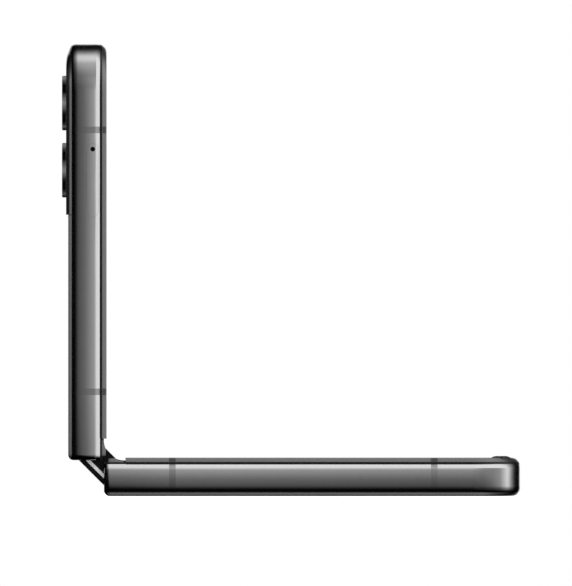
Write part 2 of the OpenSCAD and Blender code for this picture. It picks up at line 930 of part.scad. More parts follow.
module usb_c_shell() {
    color("silver") on_lower() translate([0, 0, socket_level]) difference() {
        bar_x(socket_width + 2 * socket_wall, socket_height + 2 * socket_wall,
              half_length - socket_wall - socket_depth, half_length - socket_wall);
        bar_x(socket_width, socket_height, half_length - socket_depth, half_length + 1);
    }
}

module usb_c_tongue() {
    color("black") on_lower()
        block([half_length - socket_depth, -tongue_half, socket_level - tongue_plate / 2],
              [half_length - 1.2, tongue_half, socket_level + tongue_plate / 2]);
}

module loudspeaker() {
    color("darkslategray") on_lower()
        block([half_length - 16, 7.6 - rail_inner, sub_board_top],
              [half_length - rail_thickness - 0.2, -8.5, mid_bottom]);
}

module vibration_motor() {
    color("silver") on_lower()
        translate([lower_battery_end + 3, rail_inner - 7 - motor_length, sub_board_top])
            cube([motor_width, motor_length, mid_bottom - sub_board_top]);
}

module microphone() {
    color("gold") on_lower()
        block([half_length - rail_thickness - 3.2, microphone_place - 1.5, sub_board_top],
              [half_length - rail_thickness - 0.2, microphone_place + 1.5, sub_board_top + 1.8]);
}

// ---------- inside the upper half ----------

function board_posts() = [
    [cover_start + 1.5, -12],
    [half_length - 5, 8.75 - board_edge],
    [half_length - 5, board_key_edge - 2.5]
];

module upper_battery() {
    color("dimgray") on_upper()
        block([battery_start, -battery_half, cavity_bottom],
              [upper_battery_end, battery_half, mid_bottom]);
}

module main_board() {
    color("darkgreen") on_upper() difference() {
        block([upper_battery_end + 0.8, -board_edge, board_bottom],
              [half_length - rail_thickness - 0.4, board_key_edge, board_top]);
        mirror([0, 1, 0]) board_corner_cut();
    }
}

module shield_cans() {
    color("silver") on_upper() {
        block([cover_start + 4, 2.75 - board_edge, board_bottom - shield_height],
              [half_length - 18, -14, board_bottom]);
        block([cover_start + 4, -12, board_bottom - shield_height],
              [half_length - 8, shield_edge - 1, board_bottom]);
        block([cover_start + 5, -11, board_top],
              [half_length - 12, shield_edge, board_top + shield_height]);
    }
}

module earpiece() {
    color("darkslategray") on_upper()
        block([half_length - 6.6, -14.2, board_top], [half_length - 2.2, -3.2, mid_bottom]);
}

module front_camera() {
    color("black") on_upper() translate([front_camera_u, 0, 0]) {
        translate([0, 0, board_top]) cylinder(r = 1.9, h = mid_bottom - board_top);
        cylinder_top = display_top - 0.35;
        translate([0, 0, mid_bottom - eps]) cylinder(r = 1.45, h = cylinder_top - mid_bottom);
    }
}

module camera_places() {
    for (x = camera_u) translate([x, camera_v, 0]) children();
}

module cover_glass() {
    edge = half_width - cover_inset;
    core = half_width - corner_radius;
    color("black") on_upper() difference() {
        translate([0, 0, -cover_rise]) linear_extrude(cover_rise + glass_thickness) {
            translate([cover_start, -edge])
                square([half_length - corner_radius - cover_start, 2 * edge]);
            translate([cover_start, -core])
                square([half_length - cover_inset - cover_start, 2 * core]);
            for (y = [-core, core])
                translate([half_length - corner_radius, y])
                    circle(corner_radius - cover_inset, $fn = 96);
        }
        camera_places() translate([0, 0, -5]) cylinder(r = camera_radius + camera_gap, h = 10);
        translate([flash_u, flash_v, -5]) cylinder(r = flash_radius + camera_gap, h = 10);
    }
}

module cover_display() {
    color("midnightblue") on_upper()
        block([flash_u - cover_display_width / 2, cover_display_margin - rail_inner,
               glass_thickness],
              [flash_u + cover_display_width / 2, flash_v - cover_display_gap,
               glass_thickness + cover_display_thickness]);
}

module camera_rings() {
    color("silver") on_upper() camera_places() difference() {
        union() {
            translate([0, 0, -camera_rise])
                cylinder(r = camera_radius, h = camera_rise + camera_top);
            translate([0, 0, glass_thickness])
                cylinder(r = camera_radius + 0.6, h = camera_flange);
        }
        translate([0, 0, -camera_rise - 1])
            cylinder(r = camera_radius - ring_lip, h = 1 + lens_depth + lens_thickness);
        translate([0, 0, -camera_rise - 1])
            cylinder(r = camera_radius - ring_wall, h = camera_rise + 3);
    }
}

module camera_lenses() {
    color("black") on_upper() camera_places()
        translate([0, 0, lens_depth - camera_rise])
            cylinder(r = camera_radius - ring_lip - 0.02, h = lens_thickness);
}

module camera_module(u) {
    color("darkslategray") on_upper() translate([u, camera_v, 0]) {
        translate([-camera_box / 2, -camera_box / 2, camera_top + module_gap])
            cube([camera_box, camera_box, mid_bottom - camera_top - module_gap]);
        translate([0, 0, -0.35]) cylinder(r = barrel_radius, h = 1.5);
    }
}

module main_camera() {
    camera_module(camera_u[0]);
}

module wide_camera() {
    camera_module(camera_u[1]);
}

module flash_window() {
    color("ivory") on_upper()
        translate([flash_u, flash_v, -cover_rise])
            cylinder(r = flash_radius, h = cover_rise + camera_top);
}

module flash_led() {
    color("khaki") on_upper()
        translate([flash_u - led_side / 2, flash_v - led_side / 2, camera_top])
            cube([led_side, led_side, board_bottom - camera_top]);
}

// ---------- tray and keys ----------

module sim_reader() {
    color("silver") on_upper() mirror([0, 1, 0]) difference() {
        block([tray_u - reader_half, rail_inner - tray_depth - 1, board_top],
              [tray_u + reader_half, rail_inner - 0.1, mid_bottom - 0.02]);
        block([tray_u - carrier_half - 0.2, rail_inner - tray_depth,
               tray_level - tray_plate / 2 - 0.08],
              [tray_u + carrier_half + 0.2, half_width, tray_level + tray_plate / 2 - 0.05]);
    }
}

// The face follows the rail's outside; the carrier behind it holds the card
module sim_tray() {
    color("silver") on_upper() mirror([0, 1, 0]) difference() {
        union() {
            intersection() {
                translate([tray_u, 0, tray_level])
                    bar_y(tray_length, tray_height, half_width - face_depth, half_width + 1);
                translate([fold_gap, half_width, 0]) rotate([90, 0, 90])
                    linear_extrude(half_length) rail_section();
            }
            block([tray_u - carrier_half, rail_inner - tray_depth + carrier_gap,
                   tray_level - tray_plate / 2],
                  [tray_u + carrier_half, half_width - face_depth + eps,
                   tray_level + tray_plate / 2 - 0.15]);
        }
        block([tray_u - card_half, rail_inner - tray_depth + carrier_gap + carrier_rim,
               tray_level - tray_plate],
              [tray_u + card_half, rail_inner - carrier_rim, tray_level + tray_plate]);
        translate([tray_u + tray_length / 2 - tray_height / 2, 0, tray_level])
            pin_y(eject_diameter / 2, half_width - 2, half_width + 1);
    }
}

// Cap in the rail with posts that reach in to the switches
module key(length, posts) {
    bar_y(length, key_height, half_width - key_depth, half_width + key_rise);
    for (x = posts)
        translate([x, 0, 0])
            pin_y(post_pin, rail_inner - 0.35, half_width - key_depth + eps);
}

module power_key() {
    color("silver") on_upper() translate([power_u, 0, key_level]) key(power_length, [0]);
}

module volume_key() {
    color("silver") on_upper() translate([volume_u, 0, key_level])
        key(volume_length, [-volume_reach, volume_reach]);
}

// Flex carrier behind the keys with a metal dome under each key post
module key_switches() {
    color("peru") on_upper() {
        block([power_u - power_length / 2 - 1.5, rail_inner - 1.4, key_level - 1.2],
              [volume_u + volume_length / 2 + 0.25, rail_inner - 1, mid_bottom]);
        for (x = [power_u, volume_u - volume_reach, volume_u + volume_reach])
            translate([x, 0, key_level]) pin_y(dome_radius, rail_inner - 1, rail_inner - 0.65);
    }
}

lower_frame();
lower_back_glass();
lower_bezel();
lower_display();
lower_support_plate();
lower_antenna_strips();
lower_battery();
sub_board();
usb_c_shell();
usb_c_tongue();
loudspeaker();
vibration_motor();
microphone();
charging_coil();
bumpers();
lower_hinge_brackets();
lower_hinge_screws();
upper_frame();
upper_back_glass();
upper_bezel();
upper_display();
upper_support_plate();
upper_antenna_strips();
upper_battery();
main_board();
shield_cans();
earpiece();
front_camera();
cover_glass();
cover_display();
camera_rings();
camera_lenses();
main_camera();
wide_camera();
flash_window();
flash_led();
sim_reader();
key_switches();
upper_hinge_brackets();
upper_hinge_screws();
spine_shell();
hinge_bases();
fold_caps();
gear_pins();
disc_springs();
cam_plates();
display_fold();
lower_idlers();
upper_idlers();
sim_tray();
power_key();
volume_key();
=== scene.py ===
"""Looks of a clamshell foldable smartphone that stands open at a right angle.

Each half is drawn in millimetres in its own frame: u runs from the fold to the far end,
v across the phone and w from the rear glass to the display. The spine has x along the
phone, y across and z up, with z = 0 at the pivot lines.
"""

import json
import math

import bmesh
import bpy
from mathutils import Matrix, Vector


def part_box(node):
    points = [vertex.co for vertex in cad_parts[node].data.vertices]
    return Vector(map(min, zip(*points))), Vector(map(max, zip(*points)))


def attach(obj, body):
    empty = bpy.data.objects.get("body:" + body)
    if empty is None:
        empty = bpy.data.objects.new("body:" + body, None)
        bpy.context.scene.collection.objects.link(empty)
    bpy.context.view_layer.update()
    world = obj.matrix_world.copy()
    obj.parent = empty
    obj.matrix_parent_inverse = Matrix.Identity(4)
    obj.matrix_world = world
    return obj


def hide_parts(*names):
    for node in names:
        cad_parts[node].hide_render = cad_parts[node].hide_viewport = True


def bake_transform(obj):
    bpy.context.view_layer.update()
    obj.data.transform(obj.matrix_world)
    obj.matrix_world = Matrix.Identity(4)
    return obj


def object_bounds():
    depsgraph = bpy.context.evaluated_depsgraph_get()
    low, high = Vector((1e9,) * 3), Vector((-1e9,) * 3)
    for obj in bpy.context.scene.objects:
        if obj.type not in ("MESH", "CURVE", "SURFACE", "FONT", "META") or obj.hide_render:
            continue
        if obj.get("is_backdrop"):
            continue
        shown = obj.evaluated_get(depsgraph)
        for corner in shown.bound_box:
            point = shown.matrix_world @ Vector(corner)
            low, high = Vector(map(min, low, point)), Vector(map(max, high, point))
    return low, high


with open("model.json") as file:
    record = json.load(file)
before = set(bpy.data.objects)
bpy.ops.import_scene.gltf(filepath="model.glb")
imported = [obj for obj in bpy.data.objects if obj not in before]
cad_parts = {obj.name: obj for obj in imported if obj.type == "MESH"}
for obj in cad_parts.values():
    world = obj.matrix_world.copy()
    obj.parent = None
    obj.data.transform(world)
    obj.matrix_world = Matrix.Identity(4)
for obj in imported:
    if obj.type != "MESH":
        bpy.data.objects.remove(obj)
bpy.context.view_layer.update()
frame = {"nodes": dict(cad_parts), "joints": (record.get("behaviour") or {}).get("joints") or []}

# ---------- sizes, in millimetres ----------

MM = 0.001
REST_TURN = math.radians(45)
PIVOT_DISTANCE = 3.05
PIVOT_HEIGHT = 5.5
CORNER = 9.5
FOLD_GAP = 0.3
RAIL = 1.95
GLASS = 0.68
SEAT = 6.68
SHADOW_LINE = 0.39
RAIL_TOP = SEAT - SHADOW_LINE
BEZEL_TOP = 7.57
BEZEL_INSET = 0.6
BEZEL_INNER = 3.0
BEZEL_START = 4.6
DISPLAY_TOP = 7.03
DISPLAY_BOTTOM = 6.3
DISPLAY_SPLIT = 5.0
DISPLAY_INSET = 2.55
BEND_RADIUS = 4.4
SPINE_RADIUS = 4.36
CAMERA_RADIUS = 5.45
CAMERA_FIRST, CAMERA_PITCH = 11, 13.4
INSIDE_BOX = 0.002  # keeps rounding errors inside the CAD box

joints = {j["name"]: j for j in frame["joints"]}
pivot_a = Vector(joints["fold_lower"]["pos_m"])
pivot_b = Vector(joints["fold_upper"]["pos_m"])
frame_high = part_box("lower_frame")[1]
HALF_WIDTH = frame_high.y / MM
FOLD_X = pivot_a.x / MM - PIVOT_DISTANCE
HALF_LENGTH = frame_high.x / MM - FOLD_X - INSIDE_BOX
CAMERAS = (HALF_LENGTH - CAMERA_FIRST - CAMERA_PITCH, HALF_LENGTH - CAMERA_FIRST)
HALVES = ("lower", "upper")

# ---------- frames of the two halves and the spine ----------

SCALE = Matrix.Scale(MM, 4)
LOWER = Matrix.Translation((FOLD_X * MM, 0, 0)) @ SCALE
SPINE = (Matrix.Translation(pivot_a) @ Matrix.Rotation(REST_TURN, 4, "Y")
         @ Matrix.Translation((-PIVOT_DISTANCE * MM, 0, 0)) @ SCALE)
UPPER = Matrix((
    (0, 0, MM, pivot_b.x - PIVOT_HEIGHT * MM),
    (0, MM, 0, 0),
    (MM, 0, 0, pivot_b.z - PIVOT_DISTANCE * MM),
    (0, 0, 0, 1),
))
PLACES = {"lower": LOWER, "upper": UPPER, "spine": SPINE}

# Painted light across the thickness, as (w, factor).
# Painted reflection on the rails and strips: a dark band on the rounded rear edge, for the dark
# that edge reflects.
REAR_PAINTED_REFLECTION = [(0.0, 0.1), (1.1, 0.2), (1.3, 0.33), (1.5, 0.42), (1.7, 0.65), (1.9, 0.95),
             (2.1, 1.0)]
# Painted shade on the antenna strips, darker towards the display.
STRIP_PAINTED_SHADE = {
    "lower": [(0.0, 0.8), (2.0, 0.77), (4.6, 0.74), (5.3, 0.68), (5.7, 0.52), (6.2, 0.4),
              (7.0, 0.1)],
    "upper": [(0.0, 1.0), (2.6, 0.97), (3.5, 0.85), (5.0, 0.6), (6.2, 0.42), (7.0, 0.1)],
}
# Painted shade on the bezel: black on its foot in the shadow line, where the groove lies in
# shade.
BEZEL_PAINTED_SHADE = [(0.0, 0.12), (6.5, 0.08), (6.64, 0.04), (6.74, 1.0), (8.0, 1.0)]
# Painted light along a half, as (distance from the far end, factor).
# Painted reflection on the rail sides: darker round the far corners, for a narrower highlight
# there.
CORNER_PAINTED_REFLECTION = {
    "lower": [(60.0, 1.0), (25.0, 0.9), (9.6, 0.82), (8.8, 0.6), (8.0, 0.42), (7.3, 0.33),
              (6.5, 0.3), (5.7, 0.28), (4.9, 0.31), (4.1, 0.36), (3.7, 0.5), (3.3, 0.65),
              (2.9, 0.81), (2.5, 0.97), (2.1, 1.0)],
    "upper": [(9.7, 1.0), (9.3, 0.93), (8.7, 0.66), (8.0, 0.54), (7.2, 0.46), (6.4, 0.36),
              (5.6, 0.385), (4.8, 0.45), (4.0, 0.52), (3.6, 0.66), (3.2, 0.81), (2.6, 0.87),
              (2.0, 0.95)],
}
# Painted shade on the rear glass and cover foot: darker on the far end's bevel and at the fold.
GLASS_PAINTED_SHADE = [(HALF_LENGTH - 0.9, 0.05), (HALF_LENGTH - 1.6, 1.0), (7.5, 1.0), (6.5, 0.72),
              (5.7, 0.42), (4.9, 0.2), (4.1, 0.09), (3.2, 0.04), (0.0, 0.02)]
# Painted shade on the rails' chamfer where it meets the fold.
TOP_PAINTED_SHADE = [(HALF_LENGTH - 0.8, 0.02), (HALF_LENGTH - 1.15, 1.0), (HALF_LENGTH - 4.0, 1.0)]
# Painted shade on the bezel: black at the fold, darker towards the far end.
BEZEL_END_PAINTED_SHADE = [(HALF_LENGTH - 0.95, 0.1), (HALF_LENGTH - 1.7, 1.0), (6.5, 1.0), (5.0, 0.85),
                  (4.0, 0.7), (3.4, 0.5), (2.9, 0.33), (2.4, 0.2), (0.0, 0.15)]

# Painted reflection on a camera ring along its height, as (share of its radius, factor).
RING_PAINTED_REFLECTION = [(-1.0, 0.03), (-0.95, 0.02), (-0.87, 0.16), (-0.8, 0.05), (-0.7, 0.003),
                (-0.45, 0.003), (-0.34, 0.02), (-0.2, 0.12), (0.0, 0.26), (0.2, 0.12),
                (0.38, 0.004), (0.65, 0.002), (0.78, 0.06), (0.93, 0.3), (1.0, 0.2)]

# ---------- materials ----------

ROUGHNESS_SPREAD = 0.04
NOISE_DETAIL = 4
BUMP_DISTANCE = 0.02 * MM


def add_node(nodes, kind, **values):
    """Adds a shader node and sets some of its inputs, whose names have _ for spaces."""
    node = nodes.new("ShaderNode" + kind)
    for socket, value in values.items():
        node.inputs[socket.replace("_", " ")].default_value = value
    return node


def combined(nodes, links, operation, first, second):
    """The result of a math operation on two sockets."""
    node = add_node(nodes, "Math")
    node.operation = operation
    links.new(first, node.inputs[0])
    links.new(second, node.inputs[1])
    return node.outputs["Value"]


def graded(nodes, links, value, stops, low, high, unit=1.0):
    """Grey over a socket that runs from low to high, in a unit; stops are (value, grey)."""
    along = add_node(nodes, "MapRange", From_Min=low * unit, From_Max=high * unit)
    links.new(value, along.inputs["Value"])
    ramp = add_node(nodes, "ValToRGB")
    elements = ramp.color_ramp.elements
    for i, (at, grey) in enumerate(stops):
        position = (at - low) / (high - low)
        element = elements[i] if i < 2 else elements.new(position)
        element.position = position
        element.color = (grey, grey, grey, 1)
    links.new(along.outputs["Result"], ramp.inputs["Fac"])
    return ramp.outputs["Color"]


def surface(name, colour, roughness, metallic=0.0, grain=900.0, spread=0.05, bump=0.0,
            bands=(), **sockets):
    """A shader whose colour and roughness vary with a fine noise in object space.

    colour is a linear grey or (r, g, b); each of the bands is (axis, [(place in mm, factor),
    ...]) and scales the colour along an axis; sockets are further values set on the shader.
    """
    material = bpy.data.materials.new(name)
    material.use_nodes = True
    nodes, links = material.node_tree.nodes, material.node_tree.links
    shader = nodes["Principled BSDF"]
    shader.inputs["Metallic"].default_value = metallic
    for socket, value in sockets.items():
        shader.inputs[socket.replace("_", " ")].default_value = value
    place = add_node(nodes, "TexCoord").outputs["Object"]
    noise = add_node(nodes, "TexNoise", Scale=grain, Detail=NOISE_DETAIL)
    links.new(place, noise.inputs["Vector"])
    tint = add_node(nodes, "MapRange", To_Min=1 - spread, To_Max=1 + spread)
    links.new(noise.outputs["Fac"], tint.inputs["Value"])
    factor = tint.outputs["Result"]
    for axis, stops in bands:
        split = add_node(nodes, "SeparateXYZ")
        links.new(place, split.inputs["Vector"])
        grey = graded(nodes, links, split.outputs[axis], stops, stops[0][0], stops[-1][0], MM)
        factor = combined(nodes, links, "MULTIPLY", grey, factor)
    scaled = add_node(nodes, "VectorMath")
    scaled.operation = "SCALE"
    scaled.inputs[0].default_value = colour if isinstance(colour, tuple) else (colour,) * 3
    links.new(factor, scaled.inputs["Scale"])
    links.new(scaled.outputs["Vector"], shader.inputs["Base Color"])
    rough = add_node(nodes, "MapRange", To_Min=max(roughness - ROUGHNESS_SPREAD, 0.0),
                     To_Max=roughness + ROUGHNESS_SPREAD)
    links.new(noise.outputs["Fac"], rough.inputs["Value"])
    links.new(rough.outputs["Result"], shader.inputs["Roughness"])
    if bump:
        raised = add_node(nodes, "Bump", Strength=bump, Distance=BUMP_DISTANCE)
        links.new(noise.outputs["Fac"], raised.inputs["Height"])
        links.new(raised.outputs["Normal"], shader.inputs["Normal"])
    return material


def level_band(half, stops):
    """A band from (w, factor) stops across the thickness of a half."""
    axis, zero = ("Z", 0.0) if half == "lower" else ("X", pivot_b.x / MM - PIVOT_HEIGHT)
    return axis, [(zero + w, value) for w, value in stops]


def end_band(half, stops):
    """A band from (distance from the far end, factor) stops along a half."""
    zero = FOLD_X if half == "lower" else pivot_b.z / MM - PIVOT_DISTANCE
    axis = "X" if half == "lower" else "Z"
    return axis, [(zero + HALF_LENGTH - far, value) for far, value in stops]


def ring_reflection_band():
    """A band of painted reflection, the light and dark sectors of both camera rings, along the
    upper half.
    """
    zero = pivot_b.z / MM - PIVOT_DISTANCE
    return "Z", [(zero + u + t * CAMERA_RADIUS, value)
                 for u in CAMERAS for t, value in RING_PAINTED_REFLECTION]


def graphite(name, *bands):
    """Satin graphite aluminium, with any bands of painted reflection and shade in its tone."""
    return surface(name, 0.62, 0.14, metallic=1.0, spread=0.03, bands=bands)


def rear_glass(half):
    """Frosted graphite glass, with painted shade on the far end's bevel and at the fold."""
    return surface("rear_glass_" + half, 0.1, 0.34, metallic=0.25, grain=4000,
                   bands=[end_band(half, GLASS_PAINTED_SHADE)], Coat_Weight=0.5, Coat_Roughness=0.3)


def strip_plastic(half):
    """Antenna strips in the rails' colour, with painted reflection at the rear edge and painted
    shade towards the display.
    """
    return surface("strip_plastic_" + half, 0.6, 0.18, metallic=1.0, grain=3000, spread=0.04,
                   bands=[level_band(half, REAR_PAINTED_REFLECTION), level_band(half, STRIP_PAINTED_SHADE[half])])


def bezel_plastic(half):
    """Matt grey plastic of the raised bezel, with painted shade: black in the shadow line and at
    the fold, darker towards the far end.
    """
    return surface("bezel_plastic_" + half, 0.105, 0.34, grain=5000, spread=0.08, bump=0.05,
                   bands=[level_band(half, BEZEL_PAINTED_SHADE), end_band(half, BEZEL_END_PAINTED_SHADE)])


# Rails: sides with painted reflection, darker at the rear edge and corners, and a chamfer with
# painted shade at the fold.
METAL = graphite("rail_metal")
# The rail sides carry painted reflection at the rear edge and round the far corners.
PAINTED_RAIL_SIDES = {half: graphite("rail_side_painted_reflection_" + half, level_band(half, REAR_PAINTED_REFLECTION),
                             end_band(half, CORNER_PAINTED_REFLECTION[half])) for half in HALVES}
PAINTED_RAIL_TOPS = {half: graphite("rail_top_painted_shade_" + half, end_band(half, TOP_PAINTED_SHADE)) for half in HALVES}
CHASSIS = surface("chassis_metal", 0.05, 0.5, metallic=0.6, grain=2500, spread=0.1)
STRIPS = {half: strip_plastic(half) for half in HALVES}
# Black skin for the bezel beside each antenna strip: painted shade.
STRIP_SHADE_SKIN = surface("strip_painted_shade", 0.035, 0.4, grain=3000)
REAR = {half: rear_glass(half) for half in HALVES}
BEZEL = {half: bezel_plastic(half) for half in HALVES}
# Glossy black cover glass, the display when off, coated lenses and the milky flash.
BLACK_GLASS = surface("black_glass", 0.004, 0.04, grain=300, spread=0.1)
SCREEN = surface("screen_black", 0.003, 0.05, grain=300, spread=0.1)
LENS = surface("lens_glass", (0.006, 0.007, 0.012), 0.03, grain=300, spread=0.2,
               Coat_Weight=1.0, Coat_Roughness=0.02)
FLASH = surface("flash_plastic", (0.55, 0.53, 0.42), 0.3, grain=3000, spread=0.1)
# Matt black inner plastic and soft rubber.
BLACK = surface("black_plastic", 0.002, 0.4, grain=4000, spread=0.15, Specular_IOR_Level=0.2)
RUBBER = surface("rubber", 0.006, 0.42, grain=6000, spread=0.2, bump=0.2)
# Metals: polished small parts, turned camera rings whose colour is painted reflection, the
# spine's ends with a painted highlight, hinge and shell.
BRIGHT = surface("bright_metal", 0.6, 0.18, metallic=1.0, grain=1500)
# Camera rings have no gloss of their own; their colour is painted reflection.
PAINTED_RING = surface("ring_painted_reflection", 1.0, 0.4, grain=1500, bands=[ring_reflection_band()],
               Specular_IOR_Level=0.0)
# Light strip for the spine's ends: a painted highlight of the end cap's bevel, mostly matt.
PAINTED_HIGHLIGHT = surface("spine_painted_highlight", 0.66, 0.35, metallic=0.3, grain=1500)
STEEL = surface("dark_steel", 0.2, 0.35, metallic=1.0, grain=2500, spread=0.1)
SPINE_METAL = surface("spine_metal", 0.3, 0.24, metallic=1.0, grain=900, spread=0.04)
BRASS = surface("brass", (0.55, 0.38, 0.14), 0.3, metallic=1.0, grain=2000, spread=0.08)
COPPER = surface("copper", (0.5, 0.2, 0.08), 0.35, metallic=1.0, grain=2500, spread=0.1)
# Solder mask over a circuit board, and battery wrap.
BOARD = surface("board_green", (0.01, 0.05, 0.025), 0.4, grain=1500, spread=0.2)
CELL = surface("cell_wrap", 0.03, 0.5, grain=800, spread=0.1)

# ---------- mesh helpers ----------


def mesh_object(name, bm, place):
    """Makes an object from a bmesh that is drawn in the frame of a place."""
    bmesh.ops.transform(bm, matrix=PLACES[place], verts=bm.verts)
    bmesh.ops.recalc_face_normals(bm, faces=bm.faces)
    mesh = bpy.data.meshes.new(name)
    bm.to_mesh(mesh)
    bm.free()
    made = bpy.data.objects.new(name, mesh)
    bpy.context.scene.collection.objects.link(made)
    return made


def new_piece(name, bm, place, body, material, smooth=24, replaces=()):
    """Makes a visible piece and lets it ride on a body, where one is given."""
    piece = mesh_object(name, bm, place)
    piece.data.materials.append(material)
    shade(piece, smooth)
    if body:
        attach(piece, body)
    if replaces:
        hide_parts(*replaces)
    return piece


def cutter(bm, place):
    """A closed mesh in a body's frame, used only for cutting."""
    return mesh_object("cutter", bm, place)


def shade(piece, degrees=24):
    """Smooth shading with every edge above the given angle kept sharp."""
    mesh = piece.data
    for face in mesh.polygons:
        face.use_smooth = True
    mesh.set_sharp_from_angle(angle=math.radians(degrees))


def cut(piece, cutters, operation="DIFFERENCE"):
    """Cuts closed meshes out of a piece, or keeps what lies in them, and removes them."""
    for tool in cutters:
        modifier = piece.modifiers.new("cut", "BOOLEAN")
        modifier.operation = operation
        modifier.solver = "EXACT"
        modifier.object = tool
    bpy.context.view_layer.update()
    graph = bpy.context.evaluated_depsgraph_get()
    mesh = bpy.data.meshes.new_from_object(piece.evaluated_get(graph))
    piece.modifiers.clear()
    old = piece.data
    piece.data = mesh
    bpy.data.meshes.remove(old)
    for tool in cutters:
        bpy.data.objects.remove(tool)


def arc(centre, radius, start, end, steps):
    """Points on an arc in a section plane, angles in degrees."""
    points = []
    for i in range(steps + 1):
        a = math.radians(start + (end - start) * i / steps)
        points.append((centre[0] + radius * math.cos(a), centre[1] + radius * math.sin(a)))
    return points


def circle(centre, radius, steps):
    """Points on a whole circle, each once."""
    return arc(centre, radius, 0, 360, steps)[:-1]


def bar_outline(length, height, steps=20):
    """Outline of a bar with round ends, as (along, across) points."""
    flat = (length - height) / 2
    return (arc((flat, 0), height / 2, -90, 90, steps)
            + arc((-flat, 0), height / 2, 90, 270, steps))


def rounded_edge(radius, steps):
    """Steps round a quarter circle from a face to a side, as (off the side, off the face)."""
    turns = [math.radians(90 * i / steps) for i in range(steps + 1)]
    return [(radius * (1 - math.sin(a)), radius * (1 - math.cos(a))) for a in turns]


def loft(bm, rings, caps=True):
    """Skins a row of closed point rings; each ring is a list of (x, y, z)."""
    rows = [[bm.verts.new(p) for p in ring] for ring in rings]
    count = len(rows[0])
    for a, b in zip(rows, rows[1:]):
        for i in range(count):
            j = (i + 1) % count
            bm.faces.new((a[i], a[j], b[j], b[i]))
    if caps:
        bm.faces.new(rows[0])
        bm.faces.new(rows[-1])


def prism(bm, outline, v0, v1):
    """Adds a prism across the phone, from v0 to v1, with an outline of (u, w) points."""
    loft(bm, [[(u, v, w) for u, w in outline] for v in (v0, v1)])


def block(bm, low, high):
    """Adds a box between two corners."""
    made = bmesh.ops.create_cube(bm, size=1)["verts"]
    size = [b - a for a, b in zip(low, high)]
    middle = [(a + b) / 2 for a, b in zip(low, high)]
    bmesh.ops.scale(bm, vec=size, verts=made)
    bmesh.ops.translate(bm, vec=middle, verts=made)


def side_bar(u, w, length, height, depths):
    """A bar with round ends that runs across the rail; depths are (grow, v) pairs."""
    bm = bmesh.new()
    rings = []
    for grow, v in depths:
        outline = bar_outline(length + 2 * grow, height + 2 * grow)
        rings.append([(u + a, v, w + b) for a, b in outline])
    loft(bm, rings)
    return bm


# ---------- outlines and sweeps round a half ----------

RAIL_STEPS, PLATE_STEPS = 40, 24
NEAR_REPEAT = 1e-4
END_ROUND = 1.1
END_ROUND_STEPS = 10
NEAR_ROUND = 0.75
FAR_REAR_HIGH, FAR_REAR_DEEP = 1.7, 1.5
FAR_FRONT_LEVEL, FAR_FRONT_ROUND = 5.77, 1.8


class RailPath:
    """The way round a half: side, far end and side, as distance along the outside."""

    def __init__(self, start):
        self.start = start
        side = HALF_LENGTH - CORNER - start
        corner = math.pi * CORNER / 2
        end = 2 * (HALF_WIDTH - CORNER)
        self.side, self.corner, self.end = side, corner, end
        self.length = 2 * side + 2 * corner + end

    def at(self, s):
        """Point (u, v) on the outside and the outward direction there."""
        core_u, core_v = HALF_LENGTH - CORNER, HALF_WIDTH - CORNER
        if s <= self.side:
            return (self.start + s, -HALF_WIDTH), (0, -1)
        s -= self.side
        if s < self.corner:
            a = -math.pi / 2 + s / CORNER
            return ((core_u + CORNER * math.cos(a), -core_v + CORNER * math.sin(a)),
                    (math.cos(a), math.sin(a)))
        s -= self.corner
        if s <= self.end:
            return (HALF_LENGTH, -core_v + s), (1, 0)
        s -= self.end
        if s < self.corner:
            a = s / CORNER
            return ((core_u + CORNER * math.cos(a), core_v + CORNER * math.sin(a)),
                    (math.cos(a), math.sin(a)))
        s -= self.corner
        return (core_u - s, HALF_WIDTH), (0, 1)

    def of_u(self, u, side):
        """Distance along the path of a place u on the straight stretch of a side (-1 or 1)."""
        return u - self.start if side < 0 else self.length - (u - self.start)

    def stations(self, s0, s1):
        """Distances from s0 to s1, close together round the corners and at the fold."""
        found = [s0, s1]
        mark = 0
        for run, count in ((self.side, 4), (self.corner, RAIL_STEPS), (self.end, 4),
                           (self.corner, RAIL_STEPS), (self.side, 4)):
            found += [mark + run * k / count for k in range(count + 1)]
            mark += run
        for k in range(1, END_ROUND_STEPS + 1):
            s = END_ROUND * (1 - math.cos(math.pi / 2 * k / END_ROUND_STEPS))
            found += [s, self.length - s]
        found = sorted(s for s in found if s0 <= s <= s1)
        return [s for i, s in enumerate(found) if i == 0 or s - found[i - 1] > NEAR_REPEAT]


def far_share(nu):
    """How much of the far end's section holds where the outward normal has this u part."""
    return nu * nu


def far_inset(w):
    """How far the outline of the far end is drawn in at a level: rounded rear and front."""
    if w < FAR_REAR_HIGH:
        share = (FAR_REAR_HIGH - w) / FAR_REAR_HIGH
        return FAR_REAR_DEEP * (1 - math.sqrt(1 - share ** 2))
    if w > FAR_FRONT_LEVEL:
        rise = w - FAR_FRONT_LEVEL
        return FAR_FRONT_ROUND - math.sqrt(max(FAR_FRONT_ROUND ** 2 - rise ** 2, 0))
    return 0.0


def end_round(path):
    """How far the rail's outside moves in near its fold ends, along a quarter circle."""
    def extra(s):
        across = END_ROUND - min(s, path.length - s)
        if across <= 0:
            return 0.0
        return END_ROUND - math.sqrt(max(END_ROUND ** 2 - across ** 2, 0))
    return extra


